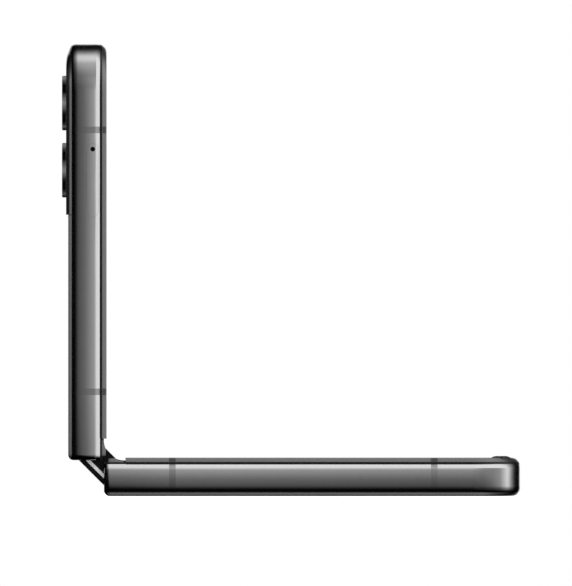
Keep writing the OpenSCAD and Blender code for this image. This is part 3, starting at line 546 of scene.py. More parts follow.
def sweep(bm, path, section, s0, s1, extra=lambda s: 0.0, deepest=1.9, far=None):
    """Sweeps a section of (inset, w) points along part of a path.

    extra(s) moves the outside inwards at a place, for rounded ends; far is the section at
    the far end, which the side's section grows into round the corners.
    """
    rings = []
    for s in path.stations(s0, s1):
        (u, v), (nu, nv) = path.at(s)
        ring = []
        for (inset, w), (inset_far, w_far) in zip(section, far or section):
            inset += (inset_far - inset) * far_share(nu)
            w += (w_far - w) * far_share(nu)
            if inset < deepest:
                inset = max(inset, min(inset + extra(s), deepest))
            ring.append((u - nu * inset, v - nv * inset, w))
        rings.append(ring)
    loft(bm, rings)


def near_corners(start, side):
    """The two small round corners of a plate at the fold, as lists of (u, v)."""
    r = NEAR_ROUND
    return (arc((start + r, r - side), r, 180, 270, 6),
            arc((start + r, side - r), r, 90, 180, 6))


def plate_outline(inset, start, far=None):
    """Outline of a half's plate as (u, v) points, with two round far corners.

    far is the inset at the far end, where it differs from the sides. A plate that reaches
    the fold also has small round corners there.
    """
    side = HALF_WIDTH - inset
    low, high = [(start, -side)], [(start, side)]
    if start < NEAR_ROUND:
        low, high = near_corners(start, side)
    points = list(low)
    for sign, first in ((-1, -90), (1, 0)):
        for i in range(PLATE_STEPS + 1):
            a = math.radians(first + 90 * i / PLATE_STEPS)
            reach = CORNER - inset
            if far is not None:
                reach += (inset - far) * far_share(math.cos(a))
            points.append((HALF_LENGTH - CORNER + reach * math.cos(a),
                           sign * (HALF_WIDTH - CORNER) + reach * math.sin(a)))
    return points + high


def stacked_plate(levels):
    """A plate whose edge is shaped by levels of (inset, start, w, inset at the far end)."""
    bm = bmesh.new()
    loft(bm, [[(u, v, w) for u, v in plate_outline(inset, start, far)]
              for inset, start, w, far in levels])
    return bm


# ---------- cutters ----------

HEEL = 1.1


def heel_cutter(place):
    """Takes the rear edge of a half at the fold down to a rounding."""
    bm = bmesh.new()
    outline = ([(FOLD_GAP - 1, -1), (FOLD_GAP + HEEL, -1)]
               + arc((FOLD_GAP + HEEL, HEEL), HEEL, 270, 180, 12) + [(FOLD_GAP - 1, HEEL)])
    prism(bm, outline, -HALF_WIDTH - 1, HALF_WIDTH + 1)
    return cutter(bm, place)


def end_cutter(v, w, length, height):
    """A bar-shaped cutter that runs through the far end of the lower half."""
    bm = bmesh.new()
    outline = bar_outline(length, height)
    loft(bm, [[(u, v + a, w + b) for a, b in outline]
              for u in (HALF_LENGTH - RAIL - 1, HALF_LENGTH + 1)])
    return cutter(bm, "lower")


def side_cutter(u, w, length, height, side):
    """A bar-shaped cutter through one side rail of the upper half."""
    v0, v1 = sorted((side * (HALF_WIDTH - RAIL - 0.3), side * (HALF_WIDTH + 1)))
    return cutter(side_bar(u, w, length, height, [(0, v0), (0, v1)]), "upper")


def round_cutter(u, v, radius, w0, w1):
    """A round cutter that runs from rear to front through the upper half."""
    bm = bmesh.new()
    loft(bm, [[(a, b, w) for a, b in circle((u, v), radius, 64)] for w in (w0, w1)])
    return cutter(bm, "upper")


# ---------- rails ----------

CROWN = 9.87
CROWN_LOW, CROWN_HIGH = 1.314, 5.42
REAR_ROUND = 0.8
CHAMFER_INSET, CHAMFER_BREAK = 0.72, 0.04
ANTENNA = 1.3
ANTENNA_NEAR = 13.8
ANTENNA_FAR = HALF_LENGTH - 17.1
ANTENNA_KEY = HALF_LENGTH - 10.7
BEZEL_ROUND = 0.38
SHADE_SKIN, SHADE_SKIN_DEPTH = 0.01, 0.1


def rail_section():
    """Section of a rail as (inset, w): rear fillet, crowned side, chamfer and top."""
    middle = (CROWN_LOW + CROWN_HIGH) / 2
    lean = math.asin((CROWN_HIGH - CROWN_LOW) / 2 / CROWN)
    half = math.degrees(lean)
    edge = CROWN * (1 - math.cos(lean))
    fillet_centre = (edge + REAR_ROUND * math.cos(lean), GLASS + REAR_ROUND)
    return ([(RAIL, GLASS)]
            + arc(fillet_centre, REAR_ROUND, 270, 180 + half, 10)
            + arc((CROWN, middle), CROWN, 180 + half, 180 - half, 12)[1:]
            + [(edge + 0.05, CROWN_HIGH + 0.1),
               (CHAMFER_INSET - CHAMFER_BREAK, RAIL_TOP - 0.06),
               (CHAMFER_INSET + CHAMFER_BREAK, RAIL_TOP), (RAIL, RAIL_TOP)])


def far_section(section):
    """The section at the far end: the same levels, on the rounded outline of that end."""
    return [(inset, w) if inset >= RAIL else (far_inset(w), w) for inset, w in section]


def shade_skin_section():
    """Section of the painted shade beside a strip on the bezel, a dark skin over its outer side.
    """
    centre = (BEZEL_INSET + BEZEL_ROUND, BEZEL_TOP - BEZEL_ROUND)
    foot = SEAT + 0.1
    return ([(BEZEL_INSET + SHADE_SKIN_DEPTH, foot), (BEZEL_INSET - SHADE_SKIN, foot)]
            + arc(centre, BEZEL_ROUND + SHADE_SKIN, 180, 110, 5)
            + arc(centre, BEZEL_ROUND - SHADE_SKIN_DEPTH, 110, 180, 5))


def rail_spans(path, places):
    """Stretches of rail between the antenna strips, and the strips, as (s0, s1) pairs."""
    marks = sorted(path.of_u(u, side) for u, side in places)
    strips = [(s - ANTENNA / 2, s + ANTENNA / 2) for s in marks]
    edges = [0.0] + [s for strip in strips for s in strip] + [path.length]
    return list(zip(edges[0::2], edges[1::2])), strips


def dress(piece, place, material, chosen):
    """Gives the faces whose middle passes chosen(u, v, w) a second material."""
    piece.data.materials.append(material)
    back = PLACES[place].inverted()
    for face in piece.data.polygons:
        if chosen(*(back @ face.center)):
            face.material_index = 1


def make_rails(place, places, cutters):
    """The rails and the antenna strips of one half, with painted shade as a dark skin on the
    bezel beside each strip.
    """
    path = RailPath(FOLD_GAP)
    rails, strips = rail_spans(path, places)
    section = rail_section()
    bm = bmesh.new()
    for s0, s1 in rails:
        sweep(bm, path, section, s0, s1, extra=end_round(path), far=far_section(section))
    piece = new_piece(place + "_rails", bm, place, place, PAINTED_RAIL_SIDES[place],
                      replaces=(place + "_frame",))
    cut(piece, cutters + [heel_cutter(place)])
    shade(piece)
    # The chamfer beside the display takes painted shade where it meets the fold.
    dress(piece, place, PAINTED_RAIL_TOPS[place], lambda u, v, w: w > CROWN_HIGH + 0.05)
    # The second sweep lays a black skin on the bezel beside each strip, which is painted shade.
    for name, shape, look in (("_strips", section, STRIPS[place]),
                              ("_strip_painted_shade", shade_skin_section(), STRIP_SHADE_SKIN)):
        bm = bmesh.new()
        for s0, s1 in strips:
            sweep(bm, path, shape, s0, s1)
        new_piece(place + name, bm, place, place, look,
                  replaces=(place + "_antenna_strips",))


KEY_LEVEL = 3.4
KEY_HEIGHT = 2.6
KEY_GAP = 0.1
KEY_RISE = 0.4
VOLUME_U, VOLUME_LENGTH = HALF_LENGTH - 21, 17.5
POWER_U, POWER_LENGTH = HALF_LENGTH - 41.6, 13.0
TRAY_U, TRAY_W = HALF_LENGTH - 27, 4.85
TRAY_LENGTH, TRAY_HEIGHT = 14.4, 2.2
TRAY_GAP = 0.05
SOCKET_W, SOCKET_WIDTH, SOCKET_HEIGHT = 3.7, 9.04, 3.26
SPEAKER_FIRST, SPEAKER_PITCH, SPEAKER_COUNT, SPEAKER_RADIUS = -11, 2.3, 6, 0.65
MICROPHONE_V, MICROPHONE_RADIUS = 12, 0.5
HOLE_FLAT = 0.01

lower_cuts = [end_cutter(0, SOCKET_W, SOCKET_WIDTH, SOCKET_HEIGHT)]
holes = [(SPEAKER_FIRST - SPEAKER_PITCH * i, SPEAKER_RADIUS) for i in range(SPEAKER_COUNT)]
for v, radius in holes + [(MICROPHONE_V, MICROPHONE_RADIUS)]:
    lower_cuts.append(end_cutter(v, SOCKET_W, 2 * radius + HOLE_FLAT, 2 * radius))
upper_cuts = [side_cutter(u, w, length + 2 * gap, height + 2 * gap, side)
              for u, w, length, height, gap, side in (
                  (TRAY_U, TRAY_W, TRAY_LENGTH, TRAY_HEIGHT, TRAY_GAP, -1),
                  (VOLUME_U, KEY_LEVEL, VOLUME_LENGTH, KEY_HEIGHT, KEY_GAP, 1),
                  (POWER_U, KEY_LEVEL, POWER_LENGTH, KEY_HEIGHT, KEY_GAP, 1))]
near_strips = [(ANTENNA_NEAR, -1), (ANTENNA_NEAR, 1), (ANTENNA_FAR, -1)]
make_rails("lower", near_strips + [(ANTENNA_FAR, 1)], lower_cuts)
make_rails("upper", near_strips + [(ANTENNA_KEY, 1)], upper_cuts)

# ---------- inner frames ----------

MID_TOP, MID_BOTTOM = 6.1, 5.3
LIP_TOP = 0.9
WALL_START, WALL_END = 7.9, 8.7
LEDGE, LEDGE_TOP = 1.2, 0.98
FRONT_CAMERA_U, FRONT_CAMERA_HOLE = HALF_LENGTH - 5.6, 1.6
LAP = 0.1
GLASS_SEAT = GLASS + 0.01


def front_camera_cutter():
    """The hole that the front camera looks through."""
    return round_cutter(FRONT_CAMERA_U, 0, FRONT_CAMERA_HOLE, 5, 8)


def make_chassis(place):
    """Mid plate, rear ledge and the walls of the spine pocket, inside the rails."""
    bm = bmesh.new()
    profile = [(FOLD_GAP, GLASS_SEAT), (WALL_END, GLASS_SEAT), (WALL_END, MID_BOTTOM),
               (WALL_END + 1, MID_BOTTOM), (WALL_END + 1, MID_TOP), (WALL_START, MID_TOP),
               (WALL_START, LIP_TOP), (FOLD_GAP, LIP_TOP)]
    reach = HALF_WIDTH - RAIL + LAP
    prism(bm, profile, -reach, reach)
    plate = plate_outline(RAIL - LAP, WALL_END + 1 - LAP)
    loft(bm, [[(u, v, w) for u, v in plate] for w in (MID_BOTTOM, MID_TOP)])
    path = RailPath(WALL_END)
    ledge = [(RAIL - LAP, GLASS_SEAT), (RAIL + LEDGE, GLASS_SEAT),
             (RAIL + LEDGE, LEDGE_TOP), (RAIL - LAP, LEDGE_TOP)]
    sweep(bm, path, ledge, 0, path.length, deepest=0)
    piece = new_piece(place + "_chassis", bm, place, place, CHASSIS, 30,
                      replaces=(place + "_frame",))
    cutters = [heel_cutter(place)]
    if place == "upper":
        cutters.append(front_camera_cutter())
    cut(piece, cutters)


for half in HALVES:
    make_chassis(half)

# ---------- rear glass and cover glass ----------

GLASS_INSET = 0.3
GLASS_START = 0.32
GLASS_ROUND = 0.35
COVER_START = HALF_LENGTH - 33.85
COVER_RISE = 0.42
COVER_FOOT = 0.26
COVER_INSET = 0.35
COVER_ROUND = 0.3
COVER_GAP = 0.12
COVER_FAR = [(2.9, -0.42), (2.4, -0.31), (2.06, -0.22), (1.6, -0.03), (1.27, 0.12),
             (0.87, 0.34), (0.47, 0.56), (0.3, GLASS)]
FOOT_STEPS = 5
EDGE_STEPS = 6
CAMERA_V = HALF_WIDTH - 11.6
CAMERA_RISE = 1.319
FLASH_U, FLASH_V = sum(CAMERAS) / 2, CAMERA_V - 11.2
FLASH_RADIUS = 1.5
LENS_GAP = 0.06


def glass_levels(inset, start, w_face, w_back, rounding, far):
    """Levels of a glass plate with a rounded face edge, from its face to its seat.

    far(w) is the inset of the far end at a level.
    """
    levels = []
    for grow, drop in rounded_edge(rounding, EDGE_STEPS):
        levels.append((inset + grow, start, w_face + drop, far(w_face + drop)))
    levels.append((inset, start, w_back, far(w_back)))
    return levels


def cover_far(w):
    """Inset of the cover plate's far end at a level, along its long bevel."""
    for (i0, w0), (i1, w1) in zip(COVER_FAR, COVER_FAR[1:]):
        if w <= w1:
            return i0 + (i1 - i0) * max(w - w0, 0) / (w1 - w0)
    return COVER_FAR[-1][0]


def make_rear_glass(half, bm):
    """The rear glass of a half, with its heel."""
    piece = new_piece(half + "_rear_glass", bm, half, half, REAR[half],
                      replaces=(half + "_back_glass",))
    cut(piece, [heel_cutter(half)])
    shade(piece)


make_rear_glass("lower", stacked_plate(glass_levels(GLASS_INSET, GLASS_START, 0, GLASS,
                                                    GLASS_ROUND, far_inset)))
bm = bmesh.new()
rings = []
for grow, drop in rounded_edge(GLASS_ROUND, EDGE_STEPS) + [(0, GLASS)]:
    side, far = HALF_WIDTH - GLASS_INSET - grow, COVER_START - COVER_GAP
    low, high = near_corners(GLASS_START, side)
    rings.append([(u, v, drop) for u, v in low + [(far, -side), (far, side)] + high])
loft(bm, rings)
make_rear_glass("upper", bm)

cover_levels = glass_levels(COVER_INSET, COVER_START, -COVER_RISE, COVER_FOOT, COVER_ROUND,
                            cover_far)
foot_levels = []
for k in range(FOOT_STEPS + 1):
    w = COVER_FOOT + (GLASS - COVER_FOOT) * k / FOOT_STEPS
    foot_levels.append((COVER_INSET, COVER_START, w, cover_far(w) + 0.01))
for name, levels, look in (("cover_plate", cover_levels, BLACK_GLASS),
                           ("cover_foot", foot_levels, REAR["upper"])):
    cover = new_piece(name, stacked_plate(levels), "upper", "upper", look,
                      replaces=("cover_glass",))
    cut(cover, [round_cutter(u, CAMERA_V, CAMERA_RADIUS + LENS_GAP, -2, 2) for u in CAMERAS]
        + [round_cutter(FLASH_U, FLASH_V, FLASH_RADIUS + LENS_GAP, -2, 2)])
    shade(cover)

# ---------- cameras ----------

RING_WALL = 1.0
RING_SEAT = 0.9
RING_INNER_ROUND, RING_OUTER_ROUND = 0.15, 0.25
LENS_DROP, LENS_STEP, LENS_BACK = 0.2, 0.04, 0.7
LENS_DOME, LENS_DOME_EDGE = 1.7, 1.75
FLASH_EDGE, FLASH_BACK = 0.12, 0.88
AXIS = 0.0001
TURN_STEPS = 96


def turned(name, centre, profile, material, replaced):
    """A piece turned about an axis through the upper half; the profile is (radius, w)."""
    bm = bmesh.new()
    rings = []
    for radius, w in profile:
        turns = [2 * math.pi * k / TURN_STEPS for k in range(TURN_STEPS)]
        rings.append([(centre[0] + radius * math.cos(a), centre[1] + radius * math.sin(a), w)
                      for a in turns])
    loft(bm, rings, caps=False)
    if profile[0] == profile[-1]:
        bmesh.ops.remove_doubles(bm, verts=bm.verts, dist=1e-5)
    new_piece(name, bm, "upper", "upper", material, 28, replaces=(replaced,))


def ring_profile():
    """Closed section of a camera ring, from its inner wall over the crest to its seat."""
    outer, inner, crest = CAMERA_RADIUS, CAMERA_RADIUS - RING_WALL, -CAMERA_RISE
    small, large = RING_INNER_ROUND, RING_OUTER_ROUND
    return ([(inner, 0.5), (inner, crest + large)]
            + arc((inner + small, crest + small), small, 180, 270, 5)
            + arc((outer - large, crest + large), large, 270, 360, 8)
            + [(outer, RING_SEAT), (inner, RING_SEAT), (inner, 0.5)])


for name, u in zip(("main", "wide"), CAMERAS):
    turned(name + "_camera_ring", (u, CAMERA_V), ring_profile(), PAINTED_RING, "camera_rings")
    top, reach = LENS_DROP - CAMERA_RISE, CAMERA_RADIUS - RING_WALL
    lens = [(AXIS, top), (LENS_DOME, top), (LENS_DOME_EDGE, top + LENS_STEP),
            (reach, top + LENS_STEP), (reach, LENS_BACK - CAMERA_RISE),
            (AXIS, LENS_BACK - CAMERA_RISE)]
    turned(name + "_lens", (u, CAMERA_V), lens, LENS, "camera_lenses")
turned("flash_cap", (FLASH_U, FLASH_V),
       [(AXIS, -COVER_RISE), (FLASH_RADIUS - FLASH_EDGE, -COVER_RISE),
        (FLASH_RADIUS, FLASH_EDGE - COVER_RISE), (FLASH_RADIUS, FLASH_BACK),
        (AXIS, FLASH_BACK)], FLASH, "flash_window")

# ---------- bezels ----------

BEZEL_FOOT = 1.0
BEZEL_SINK = 0.05
BEZEL_BREAK = 0.06
BEZEL_INNER_ROUND = 0.3
BEZEL_FAR_GAP = 0.005
BEZEL_FAR_INNER = 1.8
DISPLAY_LAP, DISPLAY_GAP = 0.1, 0.05


def bezel_section():
    """Section of a bezel as (inset, w), with its foot in the shadow line."""
    outer, inner = BEZEL_ROUND, BEZEL_INNER_ROUND
    foot = RAIL_TOP - BEZEL_SINK
    lip_inset, lip_level = DISPLAY_INSET - DISPLAY_LAP, DISPLAY_TOP + DISPLAY_GAP
    return ([(BEZEL_FOOT, foot), (BEZEL_FOOT, SEAT), (BEZEL_INSET + BEZEL_BREAK, SEAT),
             (BEZEL_INSET, SEAT + BEZEL_BREAK)]
            + arc((BEZEL_INSET + outer, BEZEL_TOP - outer), outer, 180, 90, 8)
            + arc((BEZEL_INNER - inner, BEZEL_TOP - inner), inner, 90, 0, 6)
            + [(BEZEL_INNER, lip_level), (lip_inset, lip_level), (lip_inset, foot)])


def bezel_far(section):
    """The bezel's section at the far end, flush with the rounded outline of that end."""
    found = []
    for inset, w in section:
        if inset <= BEZEL_FOOT and w < BEZEL_TOP:
            w = max(w, RAIL_TOP + BEZEL_FAR_GAP)
            inset = far_inset(w) + 2 * BEZEL_FAR_GAP
        elif inset < BEZEL_FAR_INNER and w > SEAT:
            inset = BEZEL_FAR_INNER
        found.append((inset, w))
    return found


# The bezel's end slopes down towards the fold: (past its start, above the seat) in mm.
RAMP = [(0.02, RAIL_TOP - SEAT), (0.02, 0), (-0.25, 0), (-0.5, 0.25), (-1, 0.27),
        (-1.6, 0.47), (-2.1, 0.82), (-2.5, 0.77), (-3.4, 0.7), (-3.5, 0)]
ramp = ([(FOLD_GAP, RAIL_TOP)] + [(BEZEL_START + u, SEAT + w) for u, w in RAMP]
        + [(FOLD_GAP, SEAT)])

for half in HALVES:
    bm = bmesh.new()
    path = RailPath(BEZEL_START)
    section = bezel_section()
    sweep(bm, path, section, 0, path.length, far=bezel_far(section))
    for sign in (-1, 1):
        prism(bm, ramp, sign * (HALF_WIDTH - RAIL), sign * (HALF_WIDTH - BEZEL_FOOT))
    new_piece(half + "_bezel_band", bm, half, half, BEZEL[half], replaces=(half + "_bezel",))

# ---------- display ----------

for half in HALVES:
    bm = stacked_plate([(DISPLAY_INSET, DISPLAY_SPLIT, w, None)
                        for w in (DISPLAY_BOTTOM, DISPLAY_TOP)])
    screen = new_piece(half + "_screen", bm, half, half, SCREEN, replaces=(half + "_display",))
    if half == "upper":
        cut(screen, [front_camera_cutter()])

ROOT_2 = math.sqrt(2)
BEND_OFFSET = (DISPLAY_TOP + DISPLAY_BOTTOM) / 2 - PIVOT_HEIGHT
BEND_CENTRE = BEND_OFFSET * ROOT_2 - PIVOT_DISTANCE + BEND_RADIUS * ROOT_2
BEND_START = PIVOT_DISTANCE * (1 - ROOT_2) + BEND_OFFSET + BEND_RADIUS
BEND_STEPS, RUN_STEPS = 32, 3
BLEND_REACH, BLEND_RISE = 0.9, 0.75
FOLD_HALF = HALF_WIDTH - RAIL - 1.6


def fold_profile(side):
    """Closed section (x, z) of one side of the bending display, from the middle outwards."""
    run = DISPLAY_SPLIT - BEND_START
    half = (DISPLAY_TOP - DISPLAY_BOTTOM) / 2
    turns = [math.radians(-90 + side * 45 * i / BEND_STEPS) for i in range(BEND_STEPS + 1)]
    rows = [(math.cos(a), math.sin(a), 0.0) for a in turns]
    rows += [(*rows[-1][:2], run * i / RUN_STEPS) for i in range(1, RUN_STEPS + 1)]
    along_x, along_z = side * math.cos(REST_TURN), math.sin(REST_TURN)
    lines = [[(radius * x + along_x * r, BEND_CENTRE + radius * z + along_z * r)
              for x, z, r in rows] for radius in (BEND_RADIUS - half, BEND_RADIUS + half)]
    return lines[0] + lines[1][::-1]


for side, half in ((1, "lower"), (-1, "upper")):
    bm = bmesh.new()
    profile = fold_profile(side)
    loft(bm, [[(x, v, z) for x, z in profile] for v in (-FOLD_HALF, 0, FOLD_HALF)])
    piece = new_piece(half + "_fold_band", bm, "spine", None, SCREEN,
                      replaces=("display_fold",))
    middle = SPINE @ Vector((0, 0, BEND_CENTRE - BEND_RADIUS))
    reach = (BEND_START + PIVOT_DISTANCE * (ROOT_2 - 1)) * BLEND_REACH
    far = SPINE @ Vector((side * reach, 0, BEND_CENTRE - BEND_RADIUS * BLEND_RISE))
    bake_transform(piece)

# ---------- spine ----------

SPINE_WALL = 0.5
SPINE_END = HALF_WIDTH - RAIL - 0.2
SPINE_PLATE = 0.35
SPINE_EDGE = 12
SHELL_END = SPINE_END - SPINE_PLATE
SHELL_INNER = SPINE_RADIUS - SPINE_WALL
SHELL_ROUND = 0.1


def spine_outline(radius, edge, steps=20):
    """Lower outline of the spine as (x, z), from one edge round under to the other."""
    d = PIVOT_DISTANCE
    return (arc((-d, 0), radius, 180 + edge, 270, steps)
            + arc((d, 0), radius, 270, 360 - edge, steps))


def shell_ring(v, shrink):
    """Section of the spine shell, drawn in by shrink all round its outside."""
    edge_height = SPINE_RADIUS * math.sin(math.radians(SPINE_EDGE))
    inner_edge = math.degrees(math.asin(edge_height / SHELL_INNER))
    outer = spine_outline(SPINE_RADIUS - shrink, SPINE_EDGE)
    inner = spine_outline(SHELL_INNER, inner_edge)
    return [(x, v, z) for x, z in outer + inner[::-1]]


bm = bmesh.new()
ends = rounded_edge(SHELL_ROUND, 4)[::-1]
rings = [shell_ring(-SHELL_END + along, shrink) for along, shrink in ends]
rings += [[(x, -v, z) for x, v, z in ring] for ring in rings[::-1]]
loft(bm, rings)
spine = new_piece("spine_cover", bm, "spine", "spine", SPINE_METAL, replaces=("spine_shell",))

# ---------- keys and tray ----------

KEY_ROUND, KEY_DEPTH = 0.25, 1.6
POST_RADIUS, POST_INSET, POST_REACH = 0.7, 3, 0.35
EJECT_RADIUS, EJECT_DEPTH = 0.47, 0.9
EJECT_U = TRAY_U + TRAY_LENGTH / 2 - TRAY_HEIGHT / 2
FACE_GROWTH, FACE_DEPTH = 0.06, 1.3
CARRIER_END = RAIL + 13.9 - HALF_WIDTH
CARRIER_HALF, CARRIER_LOW, CARRIER_HIGH = 6.3, 0.45, 0.3
CARD_HALF, CARD_EDGE = 4.4, 0.8

for name, body, u, length in (("power_button", "power", POWER_U, POWER_LENGTH),
                              ("volume_button", "volume", VOLUME_U, VOLUME_LENGTH)):
    depths = [(-grow, HALF_WIDTH + KEY_RISE - drop)
              for grow, drop in rounded_edge(KEY_ROUND, 5)]
    bm = side_bar(u, KEY_LEVEL, length, KEY_HEIGHT, depths + [(0, HALF_WIDTH - KEY_DEPTH)])
    from_end = length / 2 - POST_INSET
    for post_u in [u] if body == "power" else [u - from_end, u + from_end]:
        prism(bm, circle((post_u, KEY_LEVEL), POST_RADIUS, 24),
              HALF_WIDTH - RAIL - POST_REACH, HALF_WIDTH - KEY_DEPTH)
    new_piece(name, bm, "upper", body, METAL, replaces=(body + "_key",))

# The tray's face is what a bar shares with the rail, so that it lies flush with it.
bm = side_bar(TRAY_U, TRAY_W, TRAY_LENGTH + FACE_GROWTH, TRAY_HEIGHT + FACE_GROWTH,
              [(0, -HALF_WIDTH - 0.5), (0, FACE_DEPTH - HALF_WIDTH)])
tray = new_piece("tray_face", bm, "upper", "tray", METAL, replaces=("sim_tray",))
bm = bmesh.new()
path = RailPath(FOLD_GAP)
sweep(bm, path, rail_section(), path.of_u(TRAY_U - TRAY_LENGTH, -1),
      path.of_u(TRAY_U + TRAY_LENGTH / 2 + 1, -1))
cut(tray, [cutter(bm, "upper")], "INTERSECT")
bm = bmesh.new()
prism(bm, circle((EJECT_U, TRAY_W), EJECT_RADIUS, 24), -HALF_WIDTH - 1,
      EJECT_DEPTH - HALF_WIDTH)
cut(tray, [cutter(bm, "upper")])
shade(tray)
dress(tray, "upper", BLACK,
      lambda u, v, w: math.hypot(u - EJECT_U, w - TRAY_W) < EJECT_RADIUS + 0.02)
bm = bmesh.new()
block(bm, (TRAY_U - CARRIER_HALF, FACE_DEPTH - 0.01 - HALF_WIDTH, TRAY_W - CARRIER_LOW),
      (TRAY_U + CARRIER_HALF, CARRIER_END, TRAY_W + CARRIER_HIGH))
carrier = new_piece("tray_carrier", bm, "upper", "tray", BRIGHT, replaces=("sim_tray",))
bm = bmesh.new()
block(bm, (TRAY_U - CARD_HALF, RAIL + CARD_EDGE - HALF_WIDTH, TRAY_W - 2),
      (TRAY_U + CARD_HALF, CARRIER_END - CARD_EDGE, TRAY_W + 2))
cut(carrier, [cutter(bm, "upper")])

# ---------- fold caps, bumpers ----------

CAP_TOP = SEAT - PIVOT_HEIGHT - 0.12
BASE_TOP = -0.35
BASE_RADIUS, BASE_EDGE = SHELL_INNER - 0.06, 5.2
CAP_SIDE = [(2.6, BASE_TOP), (1.45, CAP_TOP - 0.04), (1.38, CAP_TOP)]
PLATE_RADIUS = SPINE_RADIUS - 0.02
HIGHLIGHT_LOW, HIGHLIGHT_HIGH = 0.96 - SPINE_RADIUS, 1.6 - SPINE_RADIUS
HIGHLIGHT_HALF = 4.2

cap = spine_outline(BASE_RADIUS, BASE_EDGE) + CAP_SIDE + [(-x, z) for x, z in CAP_SIDE[::-1]]
plate = spine_outline(PLATE_RADIUS, SPINE_EDGE)
bm = bmesh.new()
for sign in (-1, 1):
    prism(bm, cap, sign * (FOLD_HALF + 0.1), sign * (SPINE_END - 0.01))
    prism(bm, plate, sign * SHELL_END, sign * SPINE_END)
new_piece("fold_end_caps", bm, "spine", "spine", BLACK, 20, replaces=("fold_caps",))
# A light strip across each end of the spine is a painted highlight: the bevel of the hinge's end
# cap reflecting light.
bm = bmesh.new()
middle = (HIGHLIGHT_LOW + HIGHLIGHT_HIGH) / 2
highlight_outline = [(x, middle + z) for x, z in bar_outline(2 * HIGHLIGHT_HALF, HIGHLIGHT_HIGH - HIGHLIGHT_LOW, 8)]
for sign in (-1, 1):
    prism(bm, highlight_outline, sign * (SPINE_END - 0.1), sign * (SPINE_END + 0.04))
new_piece("spine_end_painted_highlight", bm, "spine", "spine", PAINTED_HIGHLIGHT, 20, replaces=("fold_caps",))

# Each bumper is a low dome, drawn out along an arc round its corner.
BUMPER_RISE = 0.34
BUMPER_HALF = 0.8
BUMPER_FOOT = 0.34
BUMPER_TURN, BUMPER_SPAN = math.radians(41), math.radians(8.2)
BUMPER_PLACE = CORNER - BEZEL_INSET - 0.08 - BUMPER_HALF
BUMPER_STEPS = 12

ways = [2 * i / BUMPER_STEPS - 1 for i in range(BUMPER_STEPS + 1)]
bm = bmesh.new()
for sign in (-1, 1):
    rows = []
    for along in ways:
        a = BUMPER_TURN + BUMPER_SPAN * along
        row = []
        for across in ways:
            rise = BUMPER_RISE * (1 - 0.55 * along ** 2 - 0.25 * across ** 4)
            reach = BUMPER_PLACE + BUMPER_HALF * across
            row.append((HALF_LENGTH - CORNER + reach * math.cos(a),
                        sign * (HALF_WIDTH - CORNER + reach * math.sin(a)),
                        BEZEL_TOP + rise))
        rows.append(row + [(u, v, BEZEL_TOP - BUMPER_FOOT) for u, v, w in (row[-1], row[0])])
    loft(bm, rows)
new_piece("rubber_bumpers", bm, "lower", "lower", RUBBER, 40, replaces=("bumpers",))

# ---------- looks of the CAD nodes that stay ----------

NODE_LOOKS = {
    "lower_support_plate": STEEL, "upper_support_plate": STEEL,
    "lower_battery": CELL, "upper_battery": CELL, "sub_board": BOARD, "main_board": BOARD,
    "usb_c_shell": BRIGHT, "usb_c_tongue": BLACK, "loudspeaker": BLACK,
    "vibration_motor": STEEL, "microphone": BRASS, "charging_coil": COPPER,
    "lower_hinge_brackets": STEEL, "upper_hinge_brackets": STEEL,
    "lower_hinge_screws": BRIGHT, "upper_hinge_screws": BRIGHT,
    "shield_cans": BRIGHT, "earpiece": BLACK, "front_camera": BLACK_GLASS,
    "cover_display": SCREEN, "main_camera": BLACK, "wide_camera": BLACK,
    "flash_led": BOARD, "sim_reader": BRIGHT, "key_switches": COPPER,
    "hinge_bases": STEEL, "gear_pins": BRIGHT, "disc_springs": BRIGHT,
    "cam_plates": STEEL, "lower_idlers": BRASS, "upper_idlers": BRASS,
}
for node, look in NODE_LOOKS.items():
    mesh = frame["nodes"][node].data
    mesh.materials.clear()
    mesh.materials.append(look)

# ---------- floor, light and backdrop ----------

FLOOR_HALF, FLOOR_LEVEL = 0.6, -0.0001


def floor_material():
    """White paper that shows pure white to the camera and keeps soft shadows."""
    material = bpy.data.materials.new("floor_paper")
    material.use_nodes = True
    nodes, links = material.node_tree.nodes, material.node_tree.links
    shader = nodes["Principled BSDF"]
    shader.inputs["Roughness"].default_value = 0.9
    shader.inputs["Specular IOR Level"].default_value = 0.0
    shader.inputs["Emission Color"].default_value = (1, 1, 1, 1)
    noise = add_node(nodes, "TexNoise", Scale=60)
    links.new(add_node(nodes, "TexCoord").outputs["Object"], noise.inputs["Vector"])
    paper = graded(nodes, links, noise.outputs["Fac"], [(0, 0.84), (1, 0.88)], 0, 1)
    links.new(paper, shader.inputs["Base Color"])
    rays = add_node(nodes, "LightPath")
    lift = add_node(nodes, "Math")
    lift.operation = "MULTIPLY"
    lift.inputs[1].default_value = 0.5
    links.new(rays.outputs["Is Camera Ray"], lift.inputs[0])
    links.new(lift.outputs["Value"], shader.inputs["Emission Strength"])
    return material


